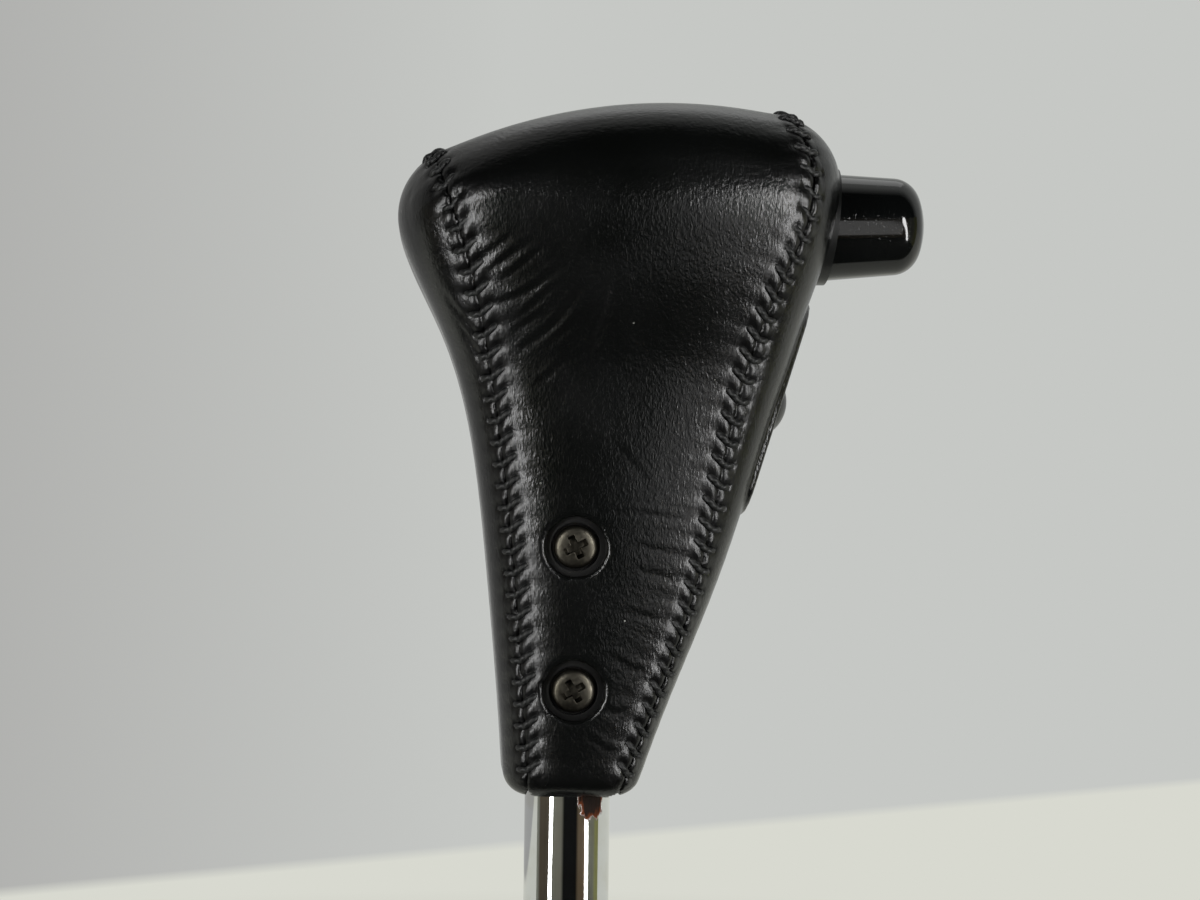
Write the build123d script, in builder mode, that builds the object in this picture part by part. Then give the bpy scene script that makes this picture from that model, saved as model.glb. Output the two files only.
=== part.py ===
from build123d import *

import os
from math import asin, atan, cos, radians, sin, sqrt, tan
from typing import NamedTuple

# Leather-covered gear lever: a grip with a release button and an overdrive switch on a chromed tube.
# Millimetres. +Z runs up the lever from the middle of the tube's foot, +X is the button side
# and -Y is the side with the screws. Heights in the grip count up from the grip's lower edge.

os.makedirs("parts", exist_ok=True)

# Fits and clearances
PRESS_FIT = 0.02
RUNNING_FIT = 0.06
WEDGE_GAP = 0.05
FREE_GAP = 0.4

# Lever tube, turned down by a step where it goes into the grip
TUBE_R = 7.0
TUBE_WALL = 1.6
TUBE_EXPOSED = 90.0
TUBE_IN_GRIP = 55.0
SPIGOT_STEP = 0.5
TUBE_CHAMFER = 0.3

# Release rod and its two bushes
ROD_R = 2.5
ROD_FOOT = 15.0
ROD_CHAMFER = 0.6
LOWER_BUSH_FOOT = 20.0
BUSH_LENGTH = 10.0
BUSH_FLANGE = 2.0
WIRE_SLOT_WIDTH = 1.8
WIRE_SLOT_DEPTH = 2.7

# Rod cap and return spring
CAP_R = 4.0
CAP_SHOULDER = 0.7
CAP_SHOULDER_HEIGHT = 2.0
CAP_DROP = 15.0
ROD_IN_CAP = 8.0
RETURN_WIRE_R = 0.5
RETURN_COIL_R = 3.9
RETURN_TURNS = 6


class Section(NamedTuple):
    """One level section of the grip: edges, half depth, bulge of front and back, corner radius."""

    height: float
    left: float
    right: float
    half_depth: float
    crown: float
    corner: float


def lean(low: Section, high: Section) -> float:
    """How far the button side leans out from one section to a higher one, as an angle."""
    return atan((high.right - low.right) / (high.height - low.height))


# Grip form, outer face of the leather; the first section lies below the foot and the last above the roof
SECTIONS = (
    Section(-8.0, -9.9, 6.8, 12.3, 1.0, 7.0),
    Section(4.8, -10.9, 12.1, 12.9, 1.4, 7.4),
    Section(18.7, -12.0, 17.3, 13.5, 1.9, 7.8),
    Section(38.7, -14.0, 25.0, 14.4, 2.7, 8.2),
    Section(58.7, -16.8, 31.1, 15.4, 3.2, 8.5),
    Section(70.7, -20.1, 34.8, 16.9, 3.4, 9.0),
    Section(78.7, -23.6, 37.2, 19.2, 3.6, 10.0),
    Section(88.7, -28.1, 40.6, 21.3, 3.8, 11.5),
    Section(95.7, -29.6, 42.1, 21.6, 3.8, 12.0),
    Section(102.7, -29.2, 42.0, 21.2, 3.8, 12.0),
    Section(114.5, -27.0, 39.5, 19.6, 3.6, 11.5),
)
SWITCH_FACE = (SECTIONS[3], SECTIONS[6])
BUTTON_FACE = (SECTIONS[7], SECTIONS[9])
ROOF_TOP = 111.4
ROOF_R = 90.0
ROOF_X = 16.0
RIM_R = 11.0
FOOT_R = 4.0
LEATHER = 1.2

# Seams: height and x of the points that each one passes on its way up, then x where it crosses the roof
SEAM_GAP = 0.4
OUTER_SEAM = ((-8.0, -6.2), (29.6, -9.0), (58.6, -12.3), (78.0, -15.9), (92.5, -20.0))
OUTER_SEAM_ROOF_X = -23.5
BUTTON_SEAM = (
    (-8.0, 4.6),
    (10.2, 11.2),
    (29.6, 18.2),
    (46.0, 22.0),
    (60.5, 24.8),
    (78.0, 29.9),
    (90.5, 35.0),
    (97.3, 36.4),
    (103.6, 35.6),
)
BUTTON_SEAM_ROOF_X = 33.3

# Stitches
STITCH_PITCH = 3.45
STITCH_SADDLE = 2.8
STITCH_STRIP = 2.3
STITCH_LEAN = 1.9
STITCH_START = 3.0
THREAD_R = 0.45
THREAD_LIFT = 0.2
THREAD_SIDES = 6
ROUTE_STEPS = 60

# Screws through the front face into the tube
SCREW_HEIGHTS = (17.4, 40.3)
SCREW_TURNS = (25.0, 40.0)
SCREW_R = 2.0
SCREW_HEAD_R = 3.5
SCREW_HEAD_HEIGHT = 2.4
SCREW_HEAD_ROUND = 1.1
SCREW_HEAD_SINK = 0.1
SCREW_TIP_GAP = 1.4
CROSS_LENGTH = 3.8
CROSS_WIDTH = 0.9
CROSS_DEPTH = 1.3
PUNCHED_HOLE_R = 4.75

# Release button
MOUTH_HEIGHT = 93.0
MOUTH_X = 41.6
BUTTON_RISE = 1.5
BUTTON_R = 8.8
BUTTON_DRAFT = 3.5
BUTTON_REACH = 16.0
BUTTON_CROWN_R = 14.0
BUTTON_EDGE_R = 4.5
BUTTON_TRAVEL = 6.0
BUTTON_FLANGE = 3.8
BUTTON_FLANGE_STEP = 0.5
STEM_WIDTH = 7.0
STEM_TOP = 8.0
RAMP_RISE = 2.1
RAMP_LEAD = 4.5
GUIDE_LENGTH = 15.0
GUIDE_WALL = 1.4
GUIDE_LIP_WALL = 0.7
GUIDE_LIP = 0.6
GUIDE_RECESS = 4.4

# Overdrive switch
SWITCH_HEIGHT = 63.0
PAD_RISE = 0.9
PAD_EDGE_R = 0.6
PLATE_LENGTH = 34.0
PLATE_WIDTH = 13.0
PLATE_CORNER_R = 4.0
PLATE_THICKNESS = 2.0
SWITCH_R = 3.8
SWITCH_PROUD = 1.8
SWITCH_DOME = 1.3
SWITCH_TRAVEL = 1.5
SWITCH_FLANGE = 1.0
SWITCH_FLANGE_STEP = 1.0
PLUNGER_R = 1.4
PLUNGER_LENGTH = 4.8
CASE_LENGTH = 15.0
CASE_WIDTH = 13.0
CASE_DEPTH = 10.8
CASE_WALL = 1.2
BRIDGE_LENGTH = 8.6
BRIDGE_WIDTH = 2.4
BRIDGE_THICKNESS = 0.5
BRIDGE_ROUND = 0.6
CONTACT_SPARE = 0.05
BLADE_THICKNESS = 0.8
BLADE_SPACING = 7.0
BLADE_TAIL = 2.5
SWITCH_WIRE_R = 0.2
SWITCH_COIL_R = 1.6
SWITCH_TURNS = 4
WIRE_CHANNEL_R = 1.8

# Worked-out places
GRIP_FOOT = TUBE_EXPOSED
TUBE_BORE_R = TUBE_R - TUBE_WALL
SPIGOT_R = TUBE_R - SPIGOT_STEP
TUBE_TOP = GRIP_FOOT + TUBE_IN_GRIP
SPRING_SEAT = TUBE_TOP + BUSH_FLANGE
REACH = 2 * max(section.right - section.left for section in SECTIONS)
UPWARD = (Align.CENTER, Align.CENTER, Align.MIN)
DOWNWARD = (Align.CENTER, Align.CENTER, Align.MAX)

# Button axis, its planes and the wedge; the wedge's angle makes the rod move as far as the button
RISE = radians(BUTTON_RISE)
MOUTH = Vector(MOUTH_X, 0, GRIP_FOOT + MOUTH_HEIGHT)
BUTTON_OUT = Vector(cos(RISE), 0, sin(RISE))
BUTTON_UP = Vector(-sin(RISE), 0, cos(RISE))
BUTTON_AXIS = Axis(MOUTH, BUTTON_OUT)
BUTTON_PLANE = Plane(MOUTH, x_dir=BUTTON_OUT, z_dir=(0, -1, 0))
FACE_LEAN = lean(*BUTTON_FACE)
FACE_OUT = Vector(cos(FACE_LEAN), 0, -sin(FACE_LEAN))
LIP_PLANE = Plane(MOUTH + FACE_OUT * GUIDE_LIP, x_dir=(0, 1, 0), z_dir=FACE_OUT)
UNDER_LEATHER_PLANE = Plane(MOUTH - FACE_OUT * GUIDE_RECESS, x_dir=(0, 1, 0), z_dir=FACE_OUT)
GUIDE_BORE_R = BUTTON_R + RUNNING_FIT
GUIDE_R = GUIDE_BORE_R + GUIDE_WALL
GUIDE_LIP_R = GUIDE_BORE_R + GUIDE_LIP_WALL
BUTTON_FLANGE_R = BUTTON_R + BUTTON_FLANGE_STEP
FLANGE_FRONT = -GUIDE_LENGTH - FREE_GAP / 2
FLANGE_BACK = FLANGE_FRONT - BUTTON_FLANGE
WEDGE_SLOPE = tan((radians(90) - RISE) / 2)
AXIS_Z = MOUTH.Z - MOUTH.X * tan(RISE)
RAMP_Z = AXIS_Z + RAMP_RISE
RAMP_RUN = CAP_R + BUTTON_TRAVEL + FREE_GAP
BORE_DEPTH = (MOUTH.X + RAMP_LEAD + BUTTON_TRAVEL) / cos(RISE) + FREE_GAP
CAP_FOOT = AXIS_Z - CAP_DROP
CAP_SHOULDER_R = CAP_R + CAP_SHOULDER
ROD_TOP = CAP_FOOT + ROD_IN_CAP

# Switch axis and planes; w counts outward from the leather's face without its pad
TILT = lean(*SWITCH_FACE)
SWITCH_X = SWITCH_FACE[0].right + (SWITCH_HEIGHT - SWITCH_FACE[0].height) * tan(TILT)
SWITCH_POINT = Vector(SWITCH_X, 0, GRIP_FOOT + SWITCH_HEIGHT)
SWITCH_OUT = Vector(cos(TILT), 0, -sin(TILT))
SWITCH_ALONG = Vector(sin(TILT), 0, cos(TILT))
SWITCH_AXIS = Axis(SWITCH_POINT, SWITCH_OUT)
SWITCH_PLANE = Plane(SWITCH_POINT, x_dir=SWITCH_ALONG, z_dir=SWITCH_OUT)
SWITCH_SECTION = Plane(SWITCH_POINT, x_dir=SWITCH_ALONG, z_dir=(0, 1, 0))
PLATE_TOP = PAD_RISE - LEATHER * cos(TILT)
PLATE_FOOT = PLATE_TOP - PLATE_THICKNESS
SWITCH_FLANGE_TOP = PLATE_FOOT - 2 * WEDGE_GAP
SWITCH_FLANGE_FOOT = SWITCH_FLANGE_TOP - SWITCH_FLANGE
SWITCH_CROWN = PAD_RISE + SWITCH_PROUD
PLUNGER_END = SWITCH_FLANGE_FOOT - PLUNGER_LENGTH
BRIDGE_FOOT = PLUNGER_END - BRIDGE_THICKNESS
CASE_FOOT = PLATE_FOOT - CASE_DEPTH
CASE_FLOOR = CASE_FOOT + CASE_WALL
BLADE_TOP = BRIDGE_FOOT - SWITCH_TRAVEL - CONTACT_SPARE
BLADE_END = CASE_FOOT - BLADE_TAIL
POCKET_FLOOR = BLADE_END - FREE_GAP


def roof_z(x: float) -> float:
    """Height of the roof's arc over a place across the grip."""
    return GRIP_FOOT + ROOF_TOP - ROOF_R + sqrt(ROOF_R**2 - (x - ROOF_X) ** 2)


def half_depth(height: float) -> float:
    """Half depth of the grip at a height, between the two sections around it."""
    above = next(index for index, section in enumerate(SECTIONS) if section.height >= height)
    low, high = SECTIONS[above - 1], SECTIONS[above]
    share = (height - low.height) / (high.height - low.height)
    return low.half_depth + share * (high.half_depth - low.half_depth)


def grip_form(inset: float) -> Part:
    """The grip's rounded form, set in all round from the leather's outer face."""
    with BuildPart() as form:
        for section in SECTIONS:
            left, right = section.left + inset, section.right - inset
            depth = section.half_depth - inset
            edge = depth - section.crown
            with BuildSketch(Plane.XY.offset(GRIP_FOOT + section.height)) as outline:
                with BuildLine():
                    ThreePointArc((left, -edge), ((left + right) / 2, -depth), (right, -edge))
                    Line((right, -edge), (right, edge))
                    ThreePointArc((right, edge), ((left + right) / 2, depth), (left, edge))
                    Line((left, edge), (left, -edge))
                make_face()
                fillet(outline.vertices(), section.corner - inset)
        loft()
        split(bisect_by=Plane.XY.offset(GRIP_FOOT + inset), keep=Keep.TOP)
        fillet(form.faces().sort_by(Axis.Z)[0].edges(), FOOT_R - inset)
        with BuildSketch(Plane.XZ):
            with Locations((ROOF_X, GRIP_FOOT + ROOF_TOP - ROOF_R)):
                Circle(ROOF_R - inset)
        extrude(amount=REACH, both=True, mode=Mode.INTERSECT)
        fillet(form.faces().sort_by(Axis.Z)[-1].edges(), RIM_R - inset)
    return form.part


def seam_points(passed: tuple, roof_x: float, shift: float = 0.0) -> list[tuple[float, float]]:
    """A seam's points in the front view, moved sideways by shift."""
    flank = [(x + shift, GRIP_FOOT + height) for height, x in passed]
    return flank + [(roof_x + shift, roof_z(roof_x))]


def seam_side(passed: tuple, roof_x: float, shift: float, side: float) -> Sketch:
    """The part of the front view that lies on one side of a seam, from side -1 on the left to +1."""
    points = seam_points(passed, roof_x, shift)
    low, high = points[0], points[-1]
    with BuildSketch(Plane.XZ) as half:
        with BuildLine():
            Spline(*points)
            Polyline(
                high,
                (high[0], high[1] + REACH),
                (high[0] + side * REACH, high[1] + REACH),
                (low[0] + side * REACH, low[1]),
                low,
            )
        make_face()
    return half.sketch


def round_tube(plane: Plane, axis: Axis, outer: float, inner: float, start: float, end: float) -> Part:
    """A sleeve around an axis that runs along the plane's own x."""
    with BuildPart() as tube:
        with BuildSketch(plane):
            with Locations((start, inner)):
                Rectangle(end - start, outer - inner, align=(Align.MIN, Align.MIN))
        revolve(axis=axis)
    return tube.part


def leather_pad() -> Part:
    """The pad that the leather makes over the switch plate, rounded along its upper edge."""
    with BuildPart() as pad:
        with BuildSketch(SWITCH_PLANE.offset(-LEATHER / 2)):
            RectangleRounded(
                PLATE_LENGTH + 2 * LEATHER,
                PLATE_WIDTH + 2 * LEATHER,
                PLATE_CORNER_R + LEATHER,
            )
        extrude(amount=LEATHER / 2 + PAD_RISE)
        fillet(pad.faces().sort_by(SWITCH_AXIS)[-1].edges(), PAD_EDGE_R)
    return pad.part


leather_form = grip_form(0.0)
core_form = grip_form(LEATHER)
pad_form = leather_pad()
mouth_in_leather = round_tube(
    BUTTON_PLANE, BUTTON_AXIS, GUIDE_LIP_R + PRESS_FIT, 0, -GUIDE_LENGTH, BUTTON_REACH
)

# Lever tube: chromed outside, shoulder at the grip's lower edge, tapped for the screws
with BuildPart() as lever_tube:
    with BuildSketch(Plane.XZ):
        with BuildLine():
            Polyline(
                (TUBE_BORE_R, 0),
                (TUBE_R - TUBE_CHAMFER, 0),
                (TUBE_R, TUBE_CHAMFER),
                (TUBE_R, GRIP_FOOT),
                (SPIGOT_R, GRIP_FOOT),
                (SPIGOT_R, TUBE_TOP),
                (TUBE_BORE_R, TUBE_TOP),
                close=True,
            )
        make_face()
    revolve(axis=Axis.Z)
    with BuildSketch(Plane.XZ):
        with Locations(*[(0, GRIP_FOOT + height) for height in SCREW_HEIGHTS]):
            Circle(SCREW_R + PRESS_FIT)
    extrude(amount=TUBE_R, mode=Mode.SUBTRACT)

# Release rod: plain bar down the middle of the tube
with BuildPart() as release_rod:
    with Locations((0, 0, ROD_FOOT)):
        Cylinder(ROD_R, ROD_TOP - ROD_FOOT, align=UPWARD)
    chamfer(release_rod.edges().group_by(Axis.Z)[0], ROD_CHAMFER)

# Rod cap: slanted top that lies against the button's wedge, shoulder for the spring
with BuildPart() as rod_cap:
    with BuildSketch(Plane.XZ):
        with BuildLine():
            Polyline(
                (0, CAP_FOOT),
                (CAP_SHOULDER_R, CAP_FOOT),
                (CAP_SHOULDER_R, CAP_FOOT + CAP_SHOULDER_HEIGHT),
                (CAP_R, CAP_FOOT + CAP_SHOULDER_HEIGHT),
                (CAP_R, RAMP_Z + CAP_R * WEDGE_SLOPE),
                (0, RAMP_Z + CAP_R * WEDGE_SLOPE),
                close=True,
            )
        make_face()
    revolve(axis=Axis.Z)
    slant = Vector(WEDGE_SLOPE, 0, 1).normalized()
    split(
        bisect_by=Plane(Vector(0, 0, RAMP_Z) - slant * WEDGE_GAP, x_dir=(0, 1, 0), z_dir=slant),
        keep=Keep.BOTTOM,
    )
    with Locations((0, 0, CAP_FOOT)):
        Cylinder(ROD_R + PRESS_FIT, ROD_IN_CAP + PRESS_FIT, align=UPWARD, mode=Mode.SUBTRACT)

# Return spring: from the upper bush to the cap's shoulder
with BuildPart() as return_spring:
    return_height = CAP_FOOT - SPRING_SEAT - 2 * (RETURN_WIRE_R + WEDGE_GAP)
    with BuildLine() as return_coil:
        Helix(
            return_height / RETURN_TURNS,
            return_height,
            RETURN_COIL_R,
            center=(0, 0, SPRING_SEAT + RETURN_WIRE_R + WEDGE_GAP),
        )
    with BuildSketch(Plane(return_coil.line @ 0, z_dir=return_coil.line % 0)):
        RegularPolygon(RETURN_WIRE_R, THREAD_SIDES)
    sweep(is_frenet=True)

# Upper rod bush: pressed into the tube's top, slotted for the switch wires
with BuildPart() as upper_rod_bush:
    with Locations((0, 0, TUBE_TOP)):
        Cylinder(SPIGOT_R, BUSH_FLANGE, align=UPWARD)
        Cylinder(TUBE_BORE_R - PRESS_FIT, BUSH_LENGTH, align=DOWNWARD)
    with BuildSketch(Plane.XY.offset(TUBE_TOP - BUSH_LENGTH)):
        Circle(ROD_R + RUNNING_FIT)
        with Locations((TUBE_BORE_R, 0)):
            SlotOverall(2 * WIRE_SLOT_DEPTH, WIRE_SLOT_WIDTH)
    extrude(amount=BUSH_LENGTH + BUSH_FLANGE, mode=Mode.SUBTRACT)

# Lower rod bush: pressed into the tube above the foot
with BuildPart() as lower_rod_bush:
    with BuildSketch(Plane.XY.offset(LOWER_BUSH_FOOT)):
        Circle(TUBE_BORE_R - PRESS_FIT)
        Circle(ROD_R + RUNNING_FIT, mode=Mode.SUBTRACT)
        with Locations((TUBE_BORE_R, 0)):
            SlotOverall(2 * WIRE_SLOT_DEPTH, WIRE_SLOT_WIDTH, mode=Mode.SUBTRACT)
    extrude(amount=BUSH_LENGTH)

# Grip core: one moulding with the tube socket, the rod channel, the button bore and the switch pocket
with BuildPart() as grip_core:
    add(core_form)
    with Locations((0, 0, GRIP_FOOT)):
        Cylinder(
            SPIGOT_R + PRESS_FIT,
            TUBE_IN_GRIP + BUSH_FLANGE + PRESS_FIT,
            align=UPWARD,
            mode=Mode.SUBTRACT,
        )
    with Locations((0, 0, SPRING_SEAT)):
        Cylinder(CAP_SHOULDER_R + FREE_GAP, AXIS_Z - SPRING_SEAT, align=UPWARD, mode=Mode.SUBTRACT)
    add(
        round_tube(BUTTON_PLANE, BUTTON_AXIS, BUTTON_FLANGE_R + FREE_GAP / 2, 0, -BORE_DEPTH, BUTTON_REACH),
        mode=Mode.SUBTRACT,
    )
    add(
        round_tube(
            BUTTON_PLANE, BUTTON_AXIS, GUIDE_R + PRESS_FIT, 0, -GUIDE_LENGTH - PRESS_FIT, BUTTON_REACH
        ),
        mode=Mode.SUBTRACT,
    )
    with BuildSketch(SWITCH_PLANE.offset(PLATE_FOOT)):
        RectangleRounded(
            PLATE_LENGTH + 2 * PRESS_FIT,
            PLATE_WIDTH + 2 * PRESS_FIT,
            PLATE_CORNER_R + PRESS_FIT,
        )
    extrude(amount=PLATE_THICKNESS + LEATHER, mode=Mode.SUBTRACT)
    with BuildSketch(SWITCH_PLANE.offset(POCKET_FLOOR)):
        Rectangle(CASE_LENGTH + 2 * PRESS_FIT, CASE_WIDTH + 2 * PRESS_FIT)
    extrude(amount=PLATE_FOOT - POCKET_FLOOR, mode=Mode.SUBTRACT)
    pocket_middle = SWITCH_POINT + SWITCH_OUT * POCKET_FLOOR
    with BuildSketch(Plane.YZ):
        with Locations((0, pocket_middle.Z)):
            Circle(WIRE_CHANNEL_R)
    extrude(amount=pocket_middle.X + WIRE_CHANNEL_R, mode=Mode.SUBTRACT)
    for height in SCREW_HEIGHTS:
        head_foot = half_depth(height) - SCREW_HEAD_SINK - SCREW_HEAD_HEIGHT
        with BuildSketch(Plane.XZ):
            with Locations((0, GRIP_FOOT + height)):
                Circle(SCREW_R + RUNNING_FIT)
        extrude(amount=head_foot, mode=Mode.SUBTRACT)
        with BuildSketch(Plane.XZ.offset(head_foot)):
            with Locations((0, GRIP_FOOT + height)):
                Circle(SCREW_HEAD_R + FREE_GAP)
        extrude(amount=SCREW_HEAD_HEIGHT, mode=Mode.SUBTRACT)

# Grip screws: pan heads with a cross recess, one solid each
with BuildPart() as grip_screws:
    for height, turn in zip(SCREW_HEIGHTS, SCREW_TURNS):
        head_foot = half_depth(height) - SCREW_HEAD_SINK - SCREW_HEAD_HEIGHT
        head_top = head_foot + SCREW_HEAD_HEIGHT
        tip = ROD_R + SCREW_TIP_GAP
        axis = Axis((0, 0, GRIP_FOOT + height), (0, -1, 0))
        with BuildSketch(Plane.XY.offset(GRIP_FOOT + height)):
            with BuildLine():
                Polyline(
                    (0, -tip),
                    (SCREW_R, -tip),
                    (SCREW_R, -head_foot),
                    (SCREW_HEAD_R, -head_foot),
                    (SCREW_HEAD_R, -head_top + SCREW_HEAD_ROUND),
                )
                EllipticalCenterArc(
                    (0, -head_top + SCREW_HEAD_ROUND),
                    SCREW_HEAD_R,
                    SCREW_HEAD_ROUND,
                    start_angle=-90,
                    arc_size=90,
                )
                Line((0, -head_top), (0, -tip))
            make_face()
        revolve(axis=axis)
        with BuildSketch(Plane.XZ.offset(head_top - CROSS_DEPTH)):
            with Locations((0, GRIP_FOOT + height)):
                Rectangle(CROSS_LENGTH, CROSS_WIDTH, rotation=turn)
                Rectangle(CROSS_WIDTH, CROSS_LENGTH, rotation=turn)
        extrude(amount=CROSS_DEPTH, mode=Mode.SUBTRACT)

# Release button: drafted and domed outside, flange behind the guide, stem with the wedge over the rod
with BuildPart() as release_button:
    side_r = BUTTON_R - BUTTON_REACH * tan(radians(BUTTON_DRAFT))
    crown_x = BUTTON_REACH - BUTTON_CROWN_R + sqrt(BUTTON_CROWN_R**2 - side_r**2)
    half_crown = asin(side_r / BUTTON_CROWN_R) / 2
    crown_middle = (
        BUTTON_REACH - BUTTON_CROWN_R * (1 - cos(half_crown)),
        BUTTON_CROWN_R * sin(half_crown),
    )
    with BuildSketch(BUTTON_PLANE) as button_half:
        with BuildLine():
            Polyline(
                (BUTTON_REACH, 0),
                (FLANGE_BACK, 0),
                (FLANGE_BACK, BUTTON_FLANGE_R),
                (FLANGE_FRONT, BUTTON_FLANGE_R),
                (FLANGE_FRONT, BUTTON_R),
                (0, BUTTON_R),
                (crown_x, side_r),
            )
            ThreePointArc((crown_x, side_r), crown_middle, (BUTTON_REACH, 0))
        make_face()
        fillet(button_half.vertices().sort_by_distance((crown_x, side_r))[0], BUTTON_EDGE_R)
    revolve(axis=BUTTON_AXIS)
    wedge_foot = Vector(RAMP_RUN, 0, RAMP_Z - RAMP_RUN * WEDGE_SLOPE)
    stem_foot = (wedge_foot - MOUTH).dot(BUTTON_UP)
    stem_root = MOUTH + BUTTON_OUT * (FLANGE_BACK + WEDGE_GAP)
    root_foot = stem_root + BUTTON_UP * stem_foot
    root_top = stem_root + BUTTON_UP * STEM_TOP
    tip_top = root_top - BUTTON_OUT * ((root_top.X + RAMP_LEAD) / cos(RISE))
    with BuildSketch(Plane.XZ):
        with BuildLine():
            Polyline(
                (-RAMP_LEAD, RAMP_Z + RAMP_LEAD * WEDGE_SLOPE),
                (wedge_foot.X, wedge_foot.Z),
                (root_foot.X, root_foot.Z),
                (root_top.X, root_top.Z),
                (tip_top.X, tip_top.Z),
                close=True,
            )
        make_face()
    extrude(amount=STEM_WIDTH / 2, both=True)

# Button guide: sleeve pressed into the core up to a step, with a thin lip out through the leather
with BuildPart() as button_guide:
    add(round_tube(BUTTON_PLANE, BUTTON_AXIS, GUIDE_R, GUIDE_BORE_R, -GUIDE_LENGTH, BUTTON_REACH))
    split(bisect_by=UNDER_LEATHER_PLANE, keep=Keep.BOTTOM)
    add(round_tube(BUTTON_PLANE, BUTTON_AXIS, GUIDE_LIP_R, GUIDE_BORE_R, -GUIDE_LENGTH, BUTTON_REACH))
    split(bisect_by=LIP_PLANE, keep=Keep.BOTTOM)

# Leather saddle: front, top and back in one panel between the two seams, punched for the screws
with BuildPart() as leather_saddle:
    add(leather_form)
    add(core_form, mode=Mode.SUBTRACT)
    extrude(
        seam_side(OUTER_SEAM, OUTER_SEAM_ROOF_X, SEAM_GAP / 2, 1),
        amount=REACH,
        both=True,
        mode=Mode.INTERSECT,
    )
    extrude(
        seam_side(BUTTON_SEAM, BUTTON_SEAM_ROOF_X, -SEAM_GAP / 2, -1),
        amount=REACH,
        both=True,
        mode=Mode.INTERSECT,
    )
    with BuildSketch(Plane.XZ):
        with Locations(*[(0, GRIP_FOOT + height) for height in SCREW_HEIGHTS]):
            Circle(PUNCHED_HOLE_R)
    extrude(amount=REACH, mode=Mode.SUBTRACT)
    with Locations((0, 0, GRIP_FOOT)):
        Cylinder(SPIGOT_R + PRESS_FIT, LEATHER, align=UPWARD, mode=Mode.SUBTRACT)

# Outer leather strip: left edge of the grip
with BuildPart() as leather_outer_strip:
    add(leather_form)
    add(core_form, mode=Mode.SUBTRACT)
    extrude(
        seam_side(OUTER_SEAM, OUTER_SEAM_ROOF_X, -SEAM_GAP / 2, -1),
        amount=REACH,
        both=True,
        mode=Mode.INTERSECT,
    )
    with Locations((0, 0, GRIP_FOOT)):
        Cylinder(SPIGOT_R + PRESS_FIT, LEATHER, align=UPWARD, mode=Mode.SUBTRACT)

# Leather strip on the button side: raised over the switch plate, holes for both buttons
with BuildPart() as leather_button_strip:
    add(leather_form)
    add(core_form, mode=Mode.SUBTRACT)
    extrude(
        seam_side(BUTTON_SEAM, BUTTON_SEAM_ROOF_X, SEAM_GAP / 2, 1),
        amount=REACH,
        both=True,
        mode=Mode.INTERSECT,
    )
    add(pad_form)
    with BuildSketch(SWITCH_PLANE.offset(PLATE_FOOT)):
        RectangleRounded(
            PLATE_LENGTH + 2 * PRESS_FIT,
            PLATE_WIDTH + 2 * PRESS_FIT,
            PLATE_CORNER_R + PRESS_FIT,
        )
    extrude(amount=PLATE_THICKNESS + PRESS_FIT, mode=Mode.SUBTRACT)
    with BuildSketch(SWITCH_PLANE):
        Circle(SWITCH_R + FREE_GAP)
    extrude(amount=LEATHER + PAD_RISE, both=True, mode=Mode.SUBTRACT)
    add(mouth_in_leather, mode=Mode.SUBTRACT)

# Switch plate: flush in the core, lifts the leather into the pad and guides the overdrive button
with BuildPart() as switch_plate:
    with BuildSketch(SWITCH_PLANE.offset(PLATE_FOOT)):
        RectangleRounded(PLATE_LENGTH, PLATE_WIDTH, PLATE_CORNER_R)
        Circle(SWITCH_R + RUNNING_FIT, mode=Mode.SUBTRACT)
    extrude(amount=PLATE_THICKNESS)

# Overdrive button: domed head, flange that keeps it under the plate, plunger
with BuildPart() as overdrive_button:
    dome_r = (SWITCH_R**2 + SWITCH_DOME**2) / (2 * SWITCH_DOME)
    with BuildSketch(SWITCH_SECTION):
        with BuildLine():
            Polyline(
                (0, SWITCH_CROWN),
                (0, PLUNGER_END),
                (PLUNGER_R, PLUNGER_END),
                (PLUNGER_R, SWITCH_FLANGE_FOOT),
                (SWITCH_R + SWITCH_FLANGE_STEP, SWITCH_FLANGE_FOOT),
                (SWITCH_R + SWITCH_FLANGE_STEP, SWITCH_FLANGE_TOP),
                (SWITCH_R, SWITCH_FLANGE_TOP),
                (SWITCH_R, SWITCH_CROWN - SWITCH_DOME),
            )
            RadiusArc((SWITCH_R, SWITCH_CROWN - SWITCH_DOME), (0, SWITCH_CROWN), -dome_r)
        make_face()
    revolve(axis=SWITCH_AXIS)

# Switch case: open box under the plate, slotted floor for the terminals
with BuildPart() as switch_case:
    with BuildSketch(SWITCH_PLANE.offset(CASE_FOOT)):
        Rectangle(CASE_LENGTH, CASE_WIDTH)
        with GridLocations(0, BLADE_SPACING, 1, 2):
            Rectangle(BRIDGE_WIDTH + 2 * PRESS_FIT, BLADE_THICKNESS + 2 * PRESS_FIT, mode=Mode.SUBTRACT)
    extrude(amount=CASE_DEPTH)
    with BuildSketch(SWITCH_PLANE.offset(CASE_FLOOR)):
        Rectangle(CASE_LENGTH - 2 * CASE_WALL, CASE_WIDTH - 2 * CASE_WALL)
    extrude(amount=CASE_DEPTH, mode=Mode.SUBTRACT)

# Switch contact: bridge on the end of the plunger
with BuildPart() as switch_contact:
    with BuildSketch(SWITCH_PLANE.offset(BRIDGE_FOOT)):
        RectangleRounded(BRIDGE_WIDTH, BRIDGE_LENGTH, BRIDGE_ROUND)
    extrude(amount=BRIDGE_THICKNESS)

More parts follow.
